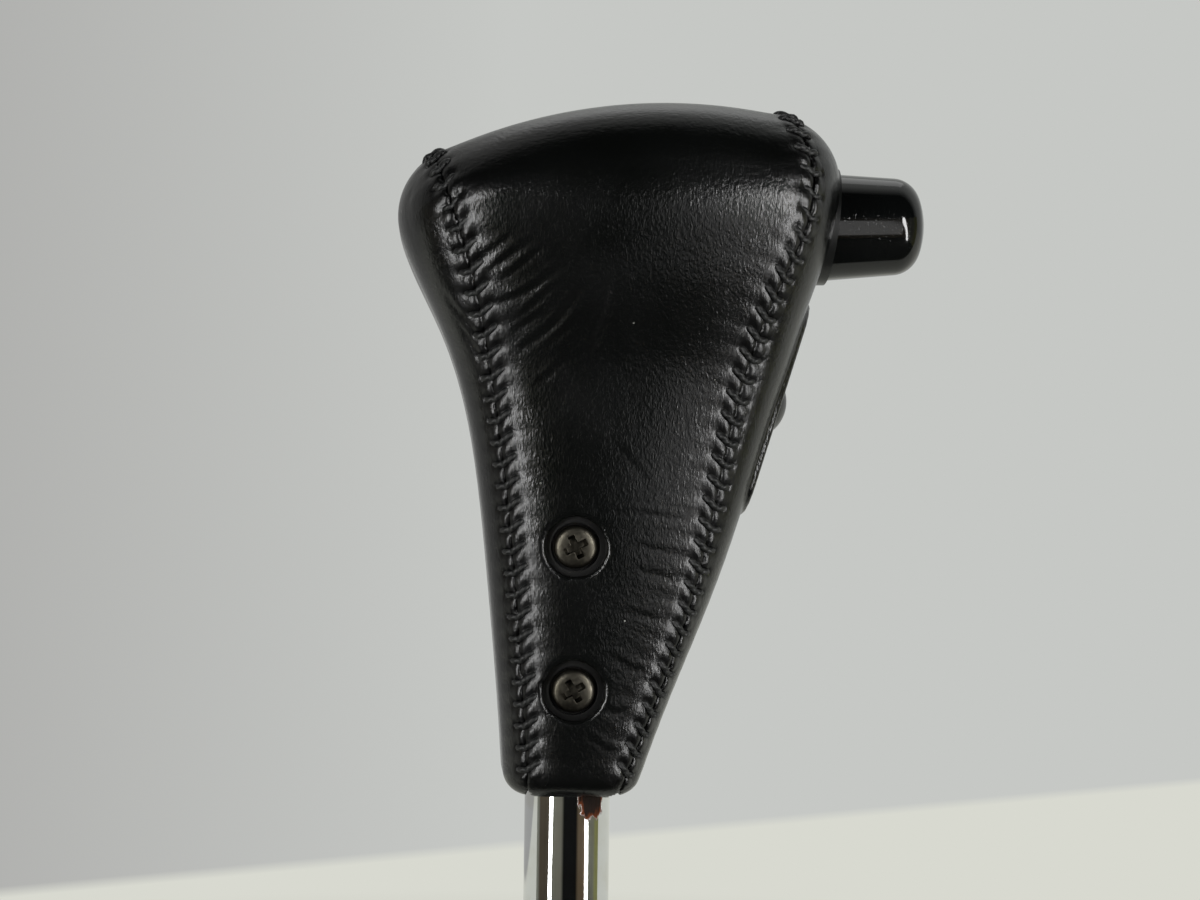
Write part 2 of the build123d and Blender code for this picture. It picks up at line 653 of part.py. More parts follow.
# Switch spring: under the bridge, on the case's floor
with BuildPart() as switch_spring:
    switch_height = BRIDGE_FOOT - CASE_FLOOR - 2 * (SWITCH_WIRE_R + WEDGE_GAP)
    with BuildLine() as switch_coil:
        Helix(
            switch_height / SWITCH_TURNS,
            switch_height,
            SWITCH_COIL_R,
            center=SWITCH_POINT + SWITCH_OUT * (CASE_FLOOR + SWITCH_WIRE_R + WEDGE_GAP),
            direction=SWITCH_OUT,
        )
    with BuildSketch(Plane(switch_coil.line @ 0, z_dir=switch_coil.line % 0)):
        RegularPolygon(SWITCH_WIRE_R, THREAD_SIDES)
    sweep(is_frenet=True)

# Switch terminals: two blades through the case's floor
with BuildPart() as switch_terminals:
    with BuildSketch(SWITCH_PLANE.offset(BLADE_END)):
        with GridLocations(0, BLADE_SPACING, 1, 2):
            Rectangle(BRIDGE_WIDTH, BLADE_THICKNESS)
    extrude(amount=BLADE_TOP - BLADE_END)


def on_leather(point: Vector, outward: Vector) -> tuple[Vector, Vector]:
    """The leather's outer face under a point: where it is, and its outward normal."""
    start = point + outward * RIM_R
    found, normal = leather_form.shell().find_intersection_points(Axis(start, -outward))[0]
    return found, normal if normal.dot(outward) > 0 else -normal


def seam_route(passed: tuple, roof_x: float) -> Wire:
    """A seam's way over the leather: up the front, across the roof and down the back."""
    points = [Vector(x, 0, z) for x, z in seam_points(passed, roof_x)]
    points[-1] = on_leather(points[-1], Vector(0, 0, 1))[0]
    seam = Edge.make_spline(points)
    first = (STITCH_START - passed[0][0]) / seam.length
    flank = []
    for step in range(ROUTE_STEPS):
        share = first + (1 - first) * (1 - (1 - step / ROUTE_STEPS) ** 2)
        place = seam.position_at(share)
        flank.append(on_leather(place - Vector(0, REACH, 0), Vector(0, -1, 0))[0])
    back = [Vector(point.X, -point.Y, point.Z) for point in reversed(flank)]
    return Wire.make_polygon(flank + back, close=False)


def stitches(passed: tuple, roof_x: float, saddle_side: float) -> list[Part]:
    """Stitches along a seam: a leaning leg on the saddle and a short one on the strip."""
    route = seam_route(passed, roof_x)
    count = int(route.length / STITCH_PITCH)
    made = []
    for number in range(count):
        place = route.position_at((number + 1 / 2) / count)
        along = route.tangent_at((number + 1 / 2) / count)
        middle = Vector(place.X, 0, min(place.Z, RAMP_Z))
        knot, outward = on_leather(place, (place - middle).normalized())
        across = along.cross(outward).normalized() * saddle_side
        on_saddle, saddle_out = on_leather(knot + across * STITCH_SADDLE + along * STITCH_LEAN, outward)
        on_strip, strip_out = on_leather(knot - across * STITCH_STRIP, outward)
        legs = [
            on_saddle + saddle_out * THREAD_LIFT,
            knot + outward * THREAD_LIFT,
            on_strip + strip_out * THREAD_LIFT,
        ]
        with BuildPart() as stitch:
            with BuildLine():
                Polyline(*legs)
            with BuildSketch(Plane(legs[0], z_dir=legs[1] - legs[0])):
                RegularPolygon(THREAD_R, THREAD_SIDES)
            sweep(transition=Transition.RIGHT)
        made.append(stitch.part)
    return made


# Seam threads: the visible stitches of each seam, one solid each
outer_stitches = stitches(OUTER_SEAM, OUTER_SEAM_ROOF_X, 1)
button_stitches = stitches(BUTTON_SEAM, BUTTON_SEAM_ROOF_X, -1)
with BuildPart() as outer_seam_thread:
    add(outer_stitches)
with BuildPart() as button_seam_thread:
    add(button_stitches)

PIECES = {
    "lever_tube": lever_tube,
    "release_rod": release_rod,
    "rod_cap": rod_cap,
    "return_spring": return_spring,
    "upper_rod_bush": upper_rod_bush,
    "lower_rod_bush": lower_rod_bush,
    "grip_core": grip_core,
    "grip_screws": grip_screws,
    "release_button": release_button,
    "button_guide": button_guide,
    "leather_saddle": leather_saddle,
    "leather_outer_strip": leather_outer_strip,
    "leather_button_strip": leather_button_strip,
    "outer_seam_thread": outer_seam_thread,
    "button_seam_thread": button_seam_thread,
    "switch_plate": switch_plate,
    "overdrive_button": overdrive_button,
    "switch_case": switch_case,
    "switch_contact": switch_contact,
    "switch_spring": switch_spring,
    "switch_terminals": switch_terminals,
}
for name, piece in PIECES.items():
    piece.part.label = name
    export_step(piece.part, f"parts/{name}.step")
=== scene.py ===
"""Looks of the leather-covered gear lever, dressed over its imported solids."""

import logging
import math
from dataclasses import dataclass
from enum import Enum

import bmesh
import bpy
import numpy as np
from mathutils import Euler, Matrix, Quaternion, Vector
from mathutils.kdtree import KDTree


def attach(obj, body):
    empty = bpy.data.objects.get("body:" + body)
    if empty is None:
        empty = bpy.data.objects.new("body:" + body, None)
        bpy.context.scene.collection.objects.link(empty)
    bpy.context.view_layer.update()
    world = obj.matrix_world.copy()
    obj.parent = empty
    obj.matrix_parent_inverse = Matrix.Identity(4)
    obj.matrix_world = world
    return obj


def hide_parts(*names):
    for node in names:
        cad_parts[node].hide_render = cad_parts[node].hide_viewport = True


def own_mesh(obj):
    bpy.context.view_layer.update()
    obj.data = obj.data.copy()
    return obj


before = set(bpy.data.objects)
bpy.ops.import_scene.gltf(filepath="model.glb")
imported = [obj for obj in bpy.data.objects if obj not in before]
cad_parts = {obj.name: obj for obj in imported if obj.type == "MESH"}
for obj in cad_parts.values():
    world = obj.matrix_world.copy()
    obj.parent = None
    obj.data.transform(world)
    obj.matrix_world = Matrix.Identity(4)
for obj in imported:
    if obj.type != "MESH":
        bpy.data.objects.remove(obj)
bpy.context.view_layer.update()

LOG = logging.getLogger("gear_lever")
MM = 0.001
LEVER = "lever"
# Corners closer than this, in metres, are one corner.
WELD = 0.001 * MM
# How far the CAD thread's middle lies over the leather, in millimetres.
THREAD_LIFT = 0.2
# The line up the middle of the grip, in millimetres.
GRIP_FOOT = np.array([-1.5, 0.0, 90.0])
GRIP_HEAD = np.array([6.3, 0.0, 186.0])
# Most values of a noise texture lie in this span.
NOISE_SPAN = {"From Min": 0.3, "From Max": 0.7}
# A wave texture's bands repeat after this length.
WAVE_LENGTH = math.tau / 10
# What makes a Mix node mix colours.
COLOURS = {"data_type": "RGBA"}


def linear(code: str) -> tuple[float, float, float, float]:
    """Turns an sRGB hex colour into linear light.

    Args:
        code: The colour as "#rrggbb".

    Returns:
        Linear red, green and blue, and an alpha of 1.
    """
    parts = [int(code[start : start + 2], 16) / 255 for start in (1, 3, 5)]
    light = [
        part / 12.92 if part <= 0.04045 else ((part + 0.055) / 1.055) ** 2.4 for part in parts
    ]
    return (light[0], light[1], light[2], 1.0)


def add_node(
    tree: bpy.types.NodeTree, kind: str, settings: dict | None = None, inputs: dict | None = None
) -> bpy.types.Node:
    """Adds a shader node with its settings, and fills or links its inputs.

    Args:
        tree: The material's or world's node tree.
        kind: The node's type name.
        settings: Properties of the node by name.
        inputs: Values or other nodes' outputs, by input name or number.

    Returns:
        The new node.
    """
    node = tree.nodes.new(kind)
    for name, value in (settings or {}).items():
        setattr(node, name, value)
    for key, value in (inputs or {}).items():
        if isinstance(value, bpy.types.NodeSocket):
            tree.links.new(value, node.inputs[key])
        else:
            node.inputs[key].default_value = value
    return node


def new_material(name: str) -> tuple[bpy.types.Material, bpy.types.NodeTree, bpy.types.Node]:
    """Starts a node material.

    Args:
        name: The material's name.

    Returns:
        The material, its tree and its Principled shader.
    """
    material = bpy.data.materials.new(name)
    material.use_nodes = True
    return material, material.node_tree, material.node_tree.nodes["Principled BSDF"]


def set_ramp(ramp: bpy.types.Node, stops: list[tuple[float, str]]) -> None:
    """Sets a colour ramp's stops.

    Args:
        ramp: The Color Ramp node.
        stops: Place from 0 to 1 and hex colour of each stop.
    """
    elements = ramp.color_ramp.elements
    while len(elements) < len(stops):
        elements.new(1.0)
    for element, (place, code) in zip(elements, stops):
        element.position = place
        element.color = linear(code)


@dataclass(frozen=True)
class GrainLeather:
    """Cowhide, dyed black and top-coated, then stretched over the core. Lengths are in millimetres."""

    # Colours of the dye, of where it is rubbed, of the painted shade that darkens the leather by the
    # seams, and of dust.
    dye: str = "#040504"
    rubbed: str = "#090a0a"
    painted_groove_shade: str = "#020202"
    dust: str = "#7d7e78"
    # Size and weight of the pebbles, the stretch lines and the pleats; the grain wanders a little.
    wander: float = 4.0
    wander_reach: float = 0.7
    pebble: float = 0.75
    pebble_weight: float = -0.55
    stretch_line: float = 0.5
    line_weight: float = 2.2
    line_turn: float = 24.0
    line_stretch: tuple[float, float, float] = (1.0, 1.0, 0.38)
    pleat: float = 0.75
    pleat_stretch: tuple[float, float, float] = (1.0, 0.14, 0.0)
    # Patches where the dye is rubbed, and rare specks of dust.
    mottle: float = 12.0
    speck_spacing: float = 4.5
    speck_size: float = 0.03
    speck_rarity: float = 0.72
    # Depth and gloss of it all, duller by the seams.
    grain_depth: float = 0.05
    grain_strength: float = 0.8
    roughness: tuple[float, float] = (0.17, 0.24)
    seam_dulling: float = 0.12

    def make(self) -> bpy.types.Material:
        """Makes the leather: the pebbles and stretch lines break its soft gloss into short dashes.

        Returns:
            The material.
        """
        material, tree, shader = new_material("black_cowhide")
        place = add_node(tree, "ShaderNodeTexCoord").outputs["Object"]
        sewn = add_node(tree, "ShaderNodeAttribute", {"attribute_name": "sewn"}).outputs["Vector"]
        by_seam = add_node(tree, "ShaderNodeSeparateXYZ", None, {0: sewn}).outputs[2]
        mottle = add_node(
            tree,
            "ShaderNodeTexNoise",
            None,
            {"Vector": place, "Scale": 1 / (self.mottle * MM), "Detail": 4.0},
        ).outputs[0]
        gloss = add_node(
            tree,
            "ShaderNodeMapRange",
            None,
            {"Value": mottle, **NOISE_SPAN, "To Min": self.roughness[0], "To Max": self.roughness[1]},
        )
        worked = add_node(
            tree,
            "ShaderNodeMath",
            {"operation": "MULTIPLY_ADD"},
            {0: by_seam, 1: self.seam_dulling, 2: gloss.outputs[0]},
        )
        bump = add_node(
            tree,
            "ShaderNodeBump",
            None,
            {
                "Strength": self.grain_strength,
                "Distance": self.grain_depth * MM,
                "Height": self.relief(tree, place, sewn, by_seam),
            },
        )
        tree.links.new(self.tone(tree, place, mottle, by_seam), shader.inputs["Base Color"])
        tree.links.new(worked.outputs[0], shader.inputs["Roughness"])
        tree.links.new(bump.outputs[0], shader.inputs["Normal"])
        return material

    def relief(
        self,
        tree: bpy.types.NodeTree,
        place: bpy.types.NodeSocket,
        sewn: bpy.types.NodeSocket,
        by_seam: bpy.types.NodeSocket,
    ) -> bpy.types.NodeSocket:
        """Makes the grain's height: pebbles, stretch lines, and pleats by the seams.

        Args:
            tree: The material's tree.
            place: Places on the leather.
            sewn: Places along and across the nearest seam.
            by_seam: How near that seam is, from 0 to 1.

        Returns:
            The output that carries the height.
        """
        wander = add_node(
            tree,
            "ShaderNodeTexNoise",
            None,
            {"Vector": place, "Scale": 1 / (self.wander * MM), "Detail": 2.0},
        )
        bent = add_node(
            tree,
            "ShaderNodeVectorMath",
            {"operation": "MULTIPLY_ADD"},
            {0: wander.outputs["Color"], 1: (self.wander_reach * MM,) * 3, 2: place},
        ).outputs[0]
        pebbles = add_node(
            tree,
            "ShaderNodeTexVoronoi",
            {"feature": "F1"},
            {"Vector": bent, "Scale": 1 / (self.pebble * MM)},
        )
        turn = (0.0, math.radians(self.line_turn), 0.0)
        drawn_out = add_node(
            tree,
            "ShaderNodeMapping",
            None,
            {"Vector": bent, "Rotation": turn, "Scale": self.line_stretch},
        )
        lines = add_node(
            tree,
            "ShaderNodeTexNoise",
            None,
            {"Vector": drawn_out.outputs[0], "Scale": 1 / (self.stretch_line * MM), "Detail": 3.0},
        )
        centred = add_node(
            tree, "ShaderNodeMath", {"operation": "SUBTRACT"}, {0: lines.outputs[0], 1: 0.5}
        )
        crease = add_node(tree, "ShaderNodeMath", {"operation": "ABSOLUTE"}, {0: centred.outputs[0]})
        along_seam = add_node(
            tree, "ShaderNodeMapping", None, {"Vector": sewn, "Scale": self.pleat_stretch}
        )
        folds = add_node(
            tree,
            "ShaderNodeTexNoise",
            None,
            {"Vector": along_seam.outputs[0], "Scale": 1 / (self.pleat * MM), "Detail": 2.0},
        )
        pleats = add_node(
            tree, "ShaderNodeMath", {"operation": "MULTIPLY"}, {0: folds.outputs[0], 1: by_seam}
        )
        grain = add_node(
            tree,
            "ShaderNodeMath",
            {"operation": "MULTIPLY_ADD"},
            {0: crease.outputs[0], 1: self.line_weight, 2: pleats.outputs[0]},
        )
        return add_node(
            tree,
            "ShaderNodeMath",
            {"operation": "MULTIPLY_ADD"},
            {0: pebbles.outputs[0], 1: self.pebble_weight, 2: grain.outputs[0]},
        ).outputs[0]

    def tone(
        self,
        tree: bpy.types.NodeTree,
        place: bpy.types.NodeSocket,
        mottle: bpy.types.NodeSocket,
        by_seam: bpy.types.NodeSocket,
    ) -> bpy.types.NodeSocket:
        """Makes the colour: mottled dye, with painted shade darkening it by the seams, and a rare speck
        of dust.

        Args:
            tree: The material's tree.
            place: Places on the leather.
            mottle: How far the dye is rubbed, from 0 to 1.
            by_seam: How near the nearest seam is, from 0 to 1.

        Returns:
            The output that carries the colour.
        """
        skin = add_node(
            tree, "ShaderNodeMix", COLOURS, {0: mottle, 6: linear(self.dye), 7: linear(self.rubbed)}
        )
        # Painted shade: the dye darkens towards the painted groove shade close to the seams.
        shaded = add_node(
            tree, "ShaderNodeMix", COLOURS, {0: by_seam, 6: skin.outputs[2], 7: linear(self.painted_groove_shade)}
        )
        specks = add_node(
            tree,
            "ShaderNodeTexVoronoi",
            {"feature": "F1"},
            {"Vector": place, "Scale": 1 / (self.speck_spacing * MM)},
        )
        small = add_node(
            tree,
            "ShaderNodeMath",
            {"operation": "LESS_THAN"},
            {0: specks.outputs[0], 1: self.speck_size},
        )
        chance = add_node(tree, "ShaderNodeSeparateXYZ", None, {0: specks.outputs["Color"]})
        rare = add_node(
            tree,
            "ShaderNodeMath",
            {"operation": "GREATER_THAN"},
            {0: chance.outputs[0], 1: self.speck_rarity},
        )
        speck = add_node(
            tree, "ShaderNodeMath", {"operation": "MULTIPLY"}, {0: small.outputs[0], 1: rare.outputs[0]}
        )
        return add_node(
            tree,
            "ShaderNodeMix",
            COLOURS,
            {0: speck.outputs[0], 6: shaded.outputs[2], 7: linear(self.dust)},
        ).outputs[2]


@dataclass(frozen=True)
class WaxedThread:
    """Thick polyester sewing thread, twisted and waxed. Lengths are in millimetres."""

    # Painted light and shade: the plies' ridges are painted lit and the furrows between them shaded.
    lit: str = "#1b1c1b"
    shade: str = "#060707"
    twist_depth: float = 0.09
    twist_wobble: float = 0.5
    roughness: float = 0.52

    def make(self) -> bpy.types.Material:
        """Makes the thread: slanting plies, painted lit and shaded in bands, with a dull waxy gleam.

        Returns:
            The material.
        """
        material, tree, shader = new_material("waxed_polyester_thread")
        turns = add_node(tree, "ShaderNodeTexCoord").outputs["UV"]
        scaled = add_node(
            tree,
            "ShaderNodeMapping",
            None,
            {"Vector": turns, "Scale": (WAVE_LENGTH, WAVE_LENGTH, 1.0)},
        )
        plies = add_node(
            tree,
            "ShaderNodeTexWave",
            {"wave_type": "BANDS", "bands_direction": "DIAGONAL"},
            {
                "Vector": scaled.outputs[0],
                "Scale": 1.0,
                "Distortion": self.twist_wobble,
                "Detail": 1.0,
            },
        ).outputs["Fac"]
        colour = add_node(
            tree, "ShaderNodeMix", COLOURS, {0: plies, 6: linear(self.shade), 7: linear(self.lit)}
        )
        bump = add_node(
            tree,
            "ShaderNodeBump",
            None,
            {"Strength": 1.0, "Distance": self.twist_depth * MM, "Height": plies},
        )
        shader.inputs["Roughness"].default_value = self.roughness
        tree.links.new(colour.outputs[2], shader.inputs["Base Color"])
        tree.links.new(bump.outputs[0], shader.inputs["Normal"])
        return material


@dataclass(frozen=True)
class MouldedPlastic:
    """A moulded plastic: its colour, gloss and mould texture. Lengths are in millimetres."""

    name: str
    colour: str
    fleck: str
    roughness: tuple[float, float]
    texture: float
    texture_depth: float
    scratch_depth: float = 0.0
    texture_strength: float = 0.5
    scratch_strength: float = 0.6
    cloud: float = 9.0
    scratch: float = 0.35
    scratch_turn: tuple[float, float, float] = (0.5, 0.9, 0.3)
    scratch_stretch: tuple[float, float, float] = (1.0, 0.04, 1.0)
    scratch_edge: tuple[float, float] = (0.68, 0.74)

    def make(self) -> bpy.types.Material:
        """Makes the plastic: even colour, mould texture, and hairline scratches where it is handled.

        Returns:
            The material.
        """
        material, tree, shader = new_material(self.name)
        place = add_node(tree, "ShaderNodeTexCoord").outputs["Object"]
        mould = add_node(
            tree,
            "ShaderNodeTexNoise",
            None,
            {"Vector": place, "Scale": 1 / (self.texture * MM), "Detail": 3.0},
        ).outputs[0]
        clouds = add_node(
            tree,
            "ShaderNodeTexNoise",
            None,
            {"Vector": place, "Scale": 1 / (self.cloud * MM), "Detail": 4.0},
        ).outputs[0]
        hair = add_node(
            tree,
            "ShaderNodeMapping",
            None,
            {"Vector": place, "Rotation": self.scratch_turn, "Scale": self.scratch_stretch},
        )
        scratches = add_node(
            tree,
            "ShaderNodeTexNoise",
            None,
            {"Vector": hair.outputs[0], "Scale": 1 / (self.scratch * MM), "Detail": 1.0},
        )
        low, high = self.scratch_edge
        cut = add_node(
            tree,
            "ShaderNodeMapRange",
            None,
            {"Value": scratches.outputs[0], "From Min": low, "From Max": high},
        )
        colour = add_node(
            tree, "ShaderNodeMix", COLOURS, {0: clouds, 6: linear(self.colour), 7: linear(self.fleck)}
        )
        gloss = add_node(
            tree,
            "ShaderNodeMapRange",
            None,
            {"Value": clouds, **NOISE_SPAN, "To Min": self.roughness[0], "To Max": self.roughness[1]},
        )
        moulded = add_node(
            tree,
            "ShaderNodeBump",
            None,
            {
                "Strength": self.texture_strength,
                "Distance": self.texture_depth * MM,
                "Height": mould,
            },
        )
        scratched = add_node(
            tree,
            "ShaderNodeBump",
            {"invert": True},
            {
                "Strength": self.scratch_strength,
                "Distance": self.scratch_depth * MM,
                "Height": cut.outputs[0],
                "Normal": moulded.outputs[0],
            },
        )
        tree.links.new(colour.outputs[2], shader.inputs["Base Color"])
        tree.links.new(gloss.outputs[0], shader.inputs["Roughness"])
        tree.links.new(scratched.outputs[0], shader.inputs["Normal"])
        return material


@dataclass(frozen=True)
class DrawnMetal:
    """A bare or plated metal with drawing marks along one axis. Lengths are in millimetres."""

    name: str
    colour: str
    tarnish: str
    roughness: tuple[float, float]
    mark: float
    mark_stretch: tuple[float, float, float]
    mark_depth: float
    mark_strength: float = 0.5
    cloud: float = 6.0
    patch_edge: tuple[float, float] = (0.45, 0.75)

    def make(self) -> bpy.types.Material:
        """Makes the metal: mirror-like gloss broken by fine marks and tarnish.

        Returns:
            The material.
        """
        material, tree, shader = new_material(self.name)
        self.surface(tree, shader)
        return material

    def surface(
        self, tree: bpy.types.NodeTree, shader: bpy.types.Node
    ) -> tuple[bpy.types.NodeSocket, ...]:
        """Lays the metal's own colour, gloss and marks on a shader.

        Args:
            tree: The material's tree.
            shader: Its Principled shader.

        Returns:
            The outputs that carry the colour, the roughness and the normal.
        """
        place = add_node(tree, "ShaderNodeTexCoord").outputs["Object"]
        drawn = add_node(
            tree, "ShaderNodeMapping", None, {"Vector": place, "Scale": self.mark_stretch}
        )
        marks = add_node(
            tree,
            "ShaderNodeTexNoise",
            None,
            {"Vector": drawn.outputs[0], "Scale": 1 / (self.mark * MM), "Detail": 3.0},
        ).outputs[0]
        clouds = add_node(
            tree,
            "ShaderNodeTexNoise",
            None,
            {"Vector": place, "Scale": 1 / (self.cloud * MM), "Detail": 5.0},
        ).outputs[0]
        low, high = self.patch_edge
        patchy = add_node(
            tree, "ShaderNodeMapRange", None, {"Value": clouds, "From Min": low, "From Max": high}
        )
        colour = add_node(
            tree,
            "ShaderNodeMix",
            COLOURS,
            {0: patchy.outputs[0], 6: linear(self.colour), 7: linear(self.tarnish)},
        )
        gloss = add_node(
            tree,
            "ShaderNodeMapRange",
            None,
            {"Value": marks, **NOISE_SPAN, "To Min": self.roughness[0], "To Max": self.roughness[1]},
        )
        bump = add_node(
            tree,
            "ShaderNodeBump",
            None,
            {"Strength": self.mark_strength, "Distance": self.mark_depth * MM, "Height": marks},
        )
        shader.inputs["Metallic"].default_value = 1.0
        tree.links.new(colour.outputs[2], shader.inputs["Base Color"])
        tree.links.new(gloss.outputs[0], shader.inputs["Roughness"])
        tree.links.new(bump.outputs[0], shader.inputs["Normal"])
        return colour.outputs[2], gloss.outputs[0], bump.outputs[0]


@dataclass(frozen=True)
class RustedChrome:
    """Bright chrome plate with a run of rust from under the leather. Lengths are in millimetres."""

    plate: DrawnMetal
    rust_middle: tuple[float, float, float] = (3.7, -6.0, 89.6)
    rust_reach: tuple[float, float, float] = (2.6, 3.0, 3.4)
    rust_stops: tuple[tuple[float, str], ...] = (
        (0.0, "#0f0804"),
        (0.75, "#1b0e06"),
        (0.92, "#66300e"),
        (1.0, "#a65e24"),
    )
    rust_span: tuple[float, float] = (0.6, 1.75)
    rust_edge: tuple[float, float] = (0.9, 1.0)
    flake: float = 1.1
    flake_stretch: tuple[float, float, float] = (1.0, 1.0, 0.35)
    flake_depth: float = 0.35
    raggedness: float = 1.6
    rust_roughness: float = 0.7
    rust_gleam: float = 0.15

    def make(self) -> bpy.types.Material:
        """Makes the chrome: a clean mirror, and near the leather a dull brown crust with an orange rim.

        Returns:
            The material.
        """
        material, tree, shader = new_material(self.plate.name)
        colour, gloss, normal = self.plate.surface(tree, shader)
        place = add_node(tree, "ShaderNodeTexCoord").outputs["Object"]
        from_middle = add_node(
            tree,
            "ShaderNodeVectorMath",
            {"operation": "SUBTRACT"},
            {0: place, 1: tuple(value * MM for value in self.rust_middle)},
        )
        scaled = add_node(
            tree,
            "ShaderNodeVectorMath",
            {"operation": "DIVIDE"},
            {0: from_middle.outputs[0], 1: tuple(value * MM for value in self.rust_reach)},
        )
        apart = add_node(tree, "ShaderNodeVectorMath", {"operation": "LENGTH"}, {0: scaled.outputs[0]})
        run_down = add_node(
            tree, "ShaderNodeMapping", None, {"Vector": place, "Scale": self.flake_stretch}
        )
        ragged = add_node(
            tree,
            "ShaderNodeTexNoise",
            None,
            {"Vector": run_down.outputs[0], "Scale": 1 / (self.flake * MM), "Detail": 5.0},
        ).outputs[0]
        edge = add_node(
            tree,
            "ShaderNodeMath",
            {"operation": "MULTIPLY_ADD"},
            {0: ragged, 1: self.raggedness, 2: apart.outputs["Value"]},
        )
        low, high = self.rust_span
        depth = add_node(
            tree,
            "ShaderNodeMapRange",
            None,
            {"Value": edge.outputs[0], "From Min": low, "From Max": high},
        ).outputs[0]
        crust = add_node(tree, "ShaderNodeValToRGB", None, {0: depth})
        set_ramp(crust, list(self.rust_stops))
        thick, bare_metal = self.rust_edge
        covered = add_node(
            tree,
            "ShaderNodeMapRange",
            None,
            {"Value": depth, "From Min": thick, "From Max": bare_metal, "To Min": 1.0, "To Max": 0.0},
        ).outputs[0]
        mixed = add_node(tree, "ShaderNodeMix", COLOURS, {0: covered, 6: colour, 7: crust.outputs[0]})
        bare = add_node(tree, "ShaderNodeMath", {"operation": "SUBTRACT"}, {0: 1.0, 1: covered})
        dull = add_node(
            tree, "ShaderNodeMix", {"data_type": "FLOAT"}, {0: covered, 2: gloss, 3: self.rust_roughness}
        )
        flaky = add_node(tree, "ShaderNodeMath", {"operation": "MULTIPLY"}, {0: ragged, 1: covered})
        crusted = add_node(
            tree,
            "ShaderNodeBump",
            None,
            {
                "Strength": 1.0,
                "Distance": self.flake_depth * MM,
                "Height": flaky.outputs[0],
                "Normal": normal,
            },
        )
        shader.inputs["Specular IOR Level"].default_value = self.rust_gleam
        tree.links.new(mixed.outputs[2], shader.inputs["Base Color"])
        tree.links.new(bare.outputs[0], shader.inputs["Metallic"])
        tree.links.new(dull.outputs[0], shader.inputs["Roughness"])
        tree.links.new(crusted.outputs[0], shader.inputs["Normal"])
        return material


class Finish(Enum):
    """The lever's finishes, by the record's slot names."""

    CHROME = "chrome"
    LEATHER = "leather"
    THREAD = "thread"
    CORE = "core_plastic"
    BUTTON = "button_plastic"
    GUIDE = "guide_plastic"
    BUSH = "bush_plastic"
    SCREW = "black_screw"
    STEEL = "steel"
    BRASS = "contact_brass"


FINISHES = {
    # Chromed steel tube: a mirror with faint drawing marks up its length.
    Finish.CHROME: RustedChrome(
        DrawnMetal("chromed_steel", "#d9dbdc", "#cfcfca", (0.025, 0.055), 0.3, (1.0, 1.0, 0.02), 0.002)
    ),
    # Black cowhide: soft gloss broken up by pebbles, stretch lines and seam pleats.
    Finish.LEATHER: GrainLeather(),
    # Waxed thread: dull, slanting plies.
    Finish.THREAD: WaxedThread(),
    # Glass-filled nylon core: black with a half-dull gleam and a fine mould texture.
    Finish.CORE: MouldedPlastic("glass_filled_nylon", "#050505", "#090908", (0.3, 0.4), 0.5, 0.01),
    # Polished ABS button: nearly a black mirror, with hairline scratches from fingers.
    Finish.BUTTON: MouldedPlastic("polished_abs", "#050606", "#090a0a", (0.05, 0.1), 2.2, 0.006, 0.01),
    # Satin ABS guide lip and switch cap: softer gleam, fine spark texture.
    Finish.GUIDE: MouldedPlastic("satin_abs", "#101111", "#171817", (0.26, 0.36), 0.35, 0.012, 0.006),
    # Acetal bushes: off-white and slightly waxy.
    Finish.BUSH: MouldedPlastic("acetal", "#d8d5ca", "#cbc7ba", (0.35, 0.45), 0.6, 0.01),
    # Black-oxide screw steel: dark olive brown, rubbed bare where the driver sat.
    Finish.SCREW: DrawnMetal(
        "black_oxide_steel", "#504d45", "#302d26", (0.3, 0.46), 0.5, (1.0, 1.0, 1.0), 0.03
    ),
    # Drawn spring and rod steel: grey with lengthwise marks.
    Finish.STEEL: DrawnMetal(
        "drawn_steel", "#a3a4a6", "#8b8a86", (0.22, 0.38), 0.25, (1.0, 1.0, 0.05), 0.006
    ),
    # Bright brass contacts: warm yellow, lightly tarnished.
    Finish.BRASS: DrawnMetal(
        "contact_brass", "#d3b26a", "#a98645", (0.2, 0.34), 0.3, (1.0, 1.0, 0.2), 0.004
    ),
}


class Wardrobe:
    """Makes each finish once and puts it on pieces."""

    def __init__(self) -> None:
        """Makes all the finishes."""
        self.materials = {finish: look.make() for finish, look in FINISHES.items()}

    def dress_node(self, name: str, finish: Finish) -> None:
        """Puts a finish on a CAD node.

        Args:
            name: The node's name.
            finish: Its finish.
        """
        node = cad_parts[name]
        if not node.material_slots:
            node.data.materials.append(None)
        for slot in node.material_slots:
            slot.material = self.materials[finish]
        LOG.info("%s: %s", name, finish.value)

    def dress_piece(self, piece: bpy.types.Object, finish: Finish, *replaced: str) -> None:
        """Puts a finish on a new piece, lets it ride on the lever and stand for CAD nodes.

        Args:
            piece: The new piece.
            finish: Its finish.
            replaced: Names of the nodes that it stands for.
        """
        piece.data.materials.clear()
        piece.data.materials.append(self.materials[finish])
        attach(piece, LEVER)
        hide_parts(*replaced)
        LOG.info("%s: %s, %d faces", piece.name, finish.value, len(piece.data.polygons))


def merged_copy(node: str) -> bmesh.types.BMesh:
    """Copies a CAD node's mesh with its loose triangles joined.

    Args:
        node: The node's name.

    Returns:
        A new bmesh, which the caller frees.
    """
    mesh = bmesh.new()
    mesh.from_mesh(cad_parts[node].data)
    bmesh.ops.remove_doubles(mesh, verts=mesh.verts[:], dist=WELD)
    return mesh


def solids_of(mesh: bmesh.types.BMesh) -> list[np.ndarray]:
    """Splits a merged mesh into its separate solids.

    Args:
        mesh: The merged mesh.

    Returns:
        The corner points of each solid, in millimetres.
    """
    seen: set[bmesh.types.BMVert] = set()
    solids = []
    for start in mesh.verts:
        if start in seen:
            continue
        seen.add(start)
        reached = [start]
        for corner in reached:
            for edge in corner.link_edges:
                other = edge.other_vert(corner)
                if other not in seen:
                    seen.add(other)
                    reached.append(other)
        solids.append(np.array([corner.co[:] for corner in reached]) / MM)
    return solids


